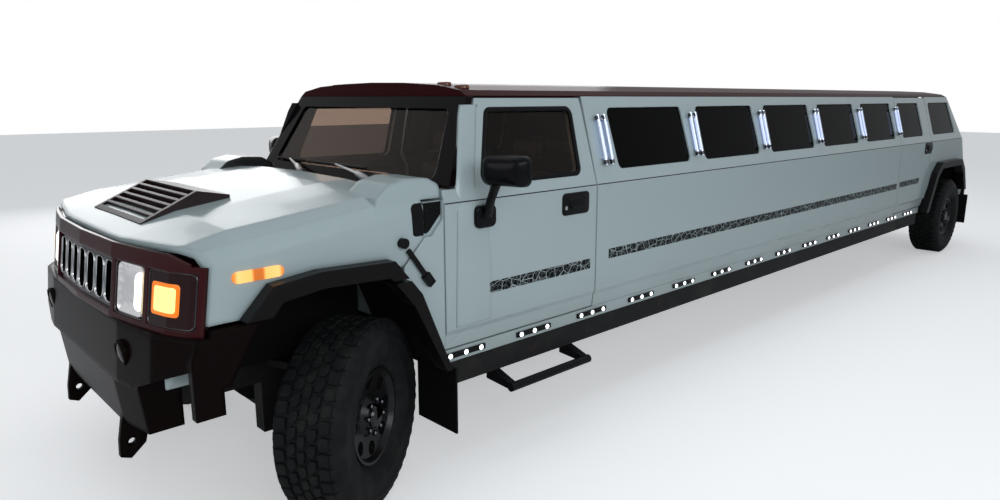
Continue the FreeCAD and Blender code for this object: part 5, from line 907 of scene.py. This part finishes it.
seat_x, seat_y = 2.815, 0.40
cushion_length, cushion_width, cushion_corner = 0.41, 0.47, 0.07
cushion_layers = [(0.868, 0.03), (0.880, 0.008), (0.920, 0.0), (0.965, 0.004), (0.985, 0.025)]
cushion = []
for height, inset in cushion_layers:
    flat = ring(cushion_length - inset * 2, cushion_width - inset * 2, cushion_corner - inset, 6)
    cushion.append(points(flat[:, 0] + seat_x, flat[:, 1] + seat_y, height))
back_axes = [(0, 1, 0), np.array([-0.09, 0.0, 0.636]) / np.hypot(0.09, 0.636),
             np.array([0.636, 0.0, 0.09]) / np.hypot(0.09, 0.636)]
back = block((2.492, seat_y, 1.200), back_axes, (0.46, 0.40, 0.100), 0.08, 0.02)
headrest = block((2.452, seat_y, 1.520), back_axes, (0.24, 0.125, 0.085), 0.05, 0.02)
for part, rings, cap in (("cushion", cushion, 0.024), ("back", back, 0.024), ("headrest", headrest, 0.014)):
    left = stuffed(f"left_seat_{part}", rings, cap)
    right = mirrored(left, f"right_seat_{part}")
    for piece in (left, right):
        fit(piece, leather)
        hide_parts("front_seats")
base_axes, base_size = [(1, 0, 0), (0, 1, 0), (0, 0, 1)], (0.40, 0.44, 0.215)
for side, word in sides:
    base = block((2.80, seat_y * side, 0.652), base_axes, base_size, 0.03, 0.02)
    piece = smooth(shell(f"{word}_seat_base", base))
    fit(piece, cab_plastic)
    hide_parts("front_seats")

# Dashboard: a moulded body with a cowl over four round dials, a dark screen, air
# outlets and the lid of a locker.
screen_glass = Finish("dial_glass", (0.004, 0.004, 0.005), 0.06).grain(0.01, 0.0005, 8.0)
toward_seats = [(0, -1, 0), (0, 0, 1), (-1, 0, 0)]
dash_face, wheel_y = 3.2265, 0.40
dial_spots = points(dash_face, wheel_y + np.array([-0.13, -0.045, 0.045, 0.13]), 1.262)
dial_outline = [(0.040, -0.002), (0.040, 0.005), (0.035, 0.006), (0.034, 0.002)]
dial_rings = turned(dial_spots, toward_seats[2], dial_outline, 28)
fit(smooth(shell("dial_rims", dial_rings)), chrome)
screen = block((dash_face, 0.0, 1.235), toward_seats, (0.21, 0.13, 0.006), 0.012, 0.003)
outlet_spots = [(dash_face, y, z) for y, z in ((0.14, 1.29), (-0.14, 1.29), (0.70, 1.27), (-0.70, 1.27))]
outlets = block(outlet_spots, toward_seats, (0.085, 0.055, 0.008), 0.012, 0.004)
fit(smooth(joined("dash_screen_and_outlets", screen, outlets)), screen_glass)
lid = block((dash_face, -0.42, 1.16), toward_seats, (0.36, 0.15, 0.007), 0.02, 0.004)
fit(smooth(shell("locker_lid", lid)), cab_plastic)

# Tail: red lamps with bright bars, a black pull handle, a blank dark plate panel,
# a high lamp under the roof, and a ribbed tread on the bumper.
red = Finish("red_lens", (0.40, 0.008, 0.010), 0.12, Emission_Strength=0.25)
lamp_height = red.axis("Z")
clear_bar = red.math("MULTIPLY", red.step(lamp_height, 1.055, 1.060), red.step(lamp_height, 1.115, 1.110))
red.link(red.mix(clear_bar, (0.38, 0.006, 0.008), (0.55, 0.56, 0.58)), "Base Color")
red.link(red.mix(clear_bar, (1.0, 0.03, 0.04), (0.1, 0.1, 0.1)), "Emission Color")
facets = red.node("TexVoronoi", Vector=red.place, Scale=55.0)
red.bump(facets.outputs["Distance"], 0.3, 0.002)
red.on("tail_lamps")
gate_slope = np.array([0.4926, 0.0, 0.8703])
gate_out = np.array([-0.8703, 0.0, 0.4926])


def gate_x(height):
    """Outer face of the tailgate by height, bent at the belt."""
    return np.interp(height, [0.83, 1.337, 1.815], [-4.793, -4.5038, -4.1937])


gate_axes = [(0, 1, 0), gate_slope, gate_out]
panel_height, pull_height, high_lamp_height = 1.02, 1.19, 1.758
panel = block((gate_x(panel_height), 0.0, panel_height), gate_axes, (0.36, 0.20, 0.004), 0.012, 0.002)
pull = block((gate_x(pull_height), 0.0, pull_height), gate_axes, (0.34, 0.055, 0.016), 0.02, 0.008)
fit(smooth(joined("tailgate_pull_and_plate_panel", panel, pull)), black_plastic, "tailgate")
high_axes = [(0, 1, 0), (0.5441, 0, 0.8390), (-0.8390, 0, 0.5441)]
high_place = (gate_x(high_lamp_height), 0.0, high_lamp_height)
high_lamp = block(high_place, high_axes, (0.42, 0.030, 0.008), 0.012, 0.003)
fit(smooth(shell("high_brake_lamp", high_lamp)), red, "tailgate")
rim_y, rim_z = (ring(0.112, 0.302, 0.012, 4) + (0.882, 1.11)).T
rim_x = np.interp(rim_z, [0.96, 1.26], [-4.739, -4.569]) + 0.004
rim_profile = [(-0.005, -0.012), (-0.005, 0.003), (0.004, 0.003), (0.004, -0.012)]
for side, word in sides:
    rim_rings = carried(points(rim_x, rim_y * side, rim_z), rim_profile, gate_out)
    fit(shell(f"{word}_tail_lamp_rim", rim_rings, looped=True), black_plastic)
first_rib, rib_pitch, rib_reach, rib_height = -4.948, 0.022, 0.55, 0.8005
rib_places = first_rib + rib_pitch * np.arange(6)
ribs = np.stack([bar([(place, -rib_reach, rib_height), (place, rib_reach, rib_height)], (1, 0, 0), (0, 0, 1),
                     0.010, 0.004) for place in rib_places])
fit(shell("bumper_tread_ribs", ribs), black_plastic)

# Frame and running gear: painted steel under a film of road dirt, rusted where
# the paint has chipped, with cast hubs and a cast engine.
chassis_black = Finish("chassis_black", (0.012, 0.012, 0.013), 0.6, IOR=1.3)
worn = chassis_black.step(chassis_black.noise(9.0, 8.0), 0.66, 0.80)
soiled = chassis_black.mix(worn, (0.008, 0.008, 0.009), (0.040, 0.022, 0.013))
dirt_film = chassis_black.step(chassis_black.noise(3.0, 6.0), 0.5, 0.85, 0.0, 0.35)
chassis_black.link(chassis_black.mix(dirt_film, soiled, (0.075, 0.068, 0.058)), "Base Color")
chassis_black.grain(0.25, 0.001, 70.0, 6.0)
chassis_black.on("frame_rails", "cross_tubes", "cabin_floor", "front_axle", "rear_axle")
cast_iron = Finish("cast_iron", (0.045, 0.042, 0.040), 0.6, 0.5)
cast_iron.link(cast_iron.mix(cast_iron.step(cast_iron.noise(12.0, 7.0), 0.5, 0.7), (0.045, 0.042, 0.040),
                             (0.085, 0.040, 0.020)), "Base Color")
cast_iron.grain(0.3, 0.001, 120.0, 5.0).on("driveshaft", "engine_block", "left_knuckle", "right_knuckle")
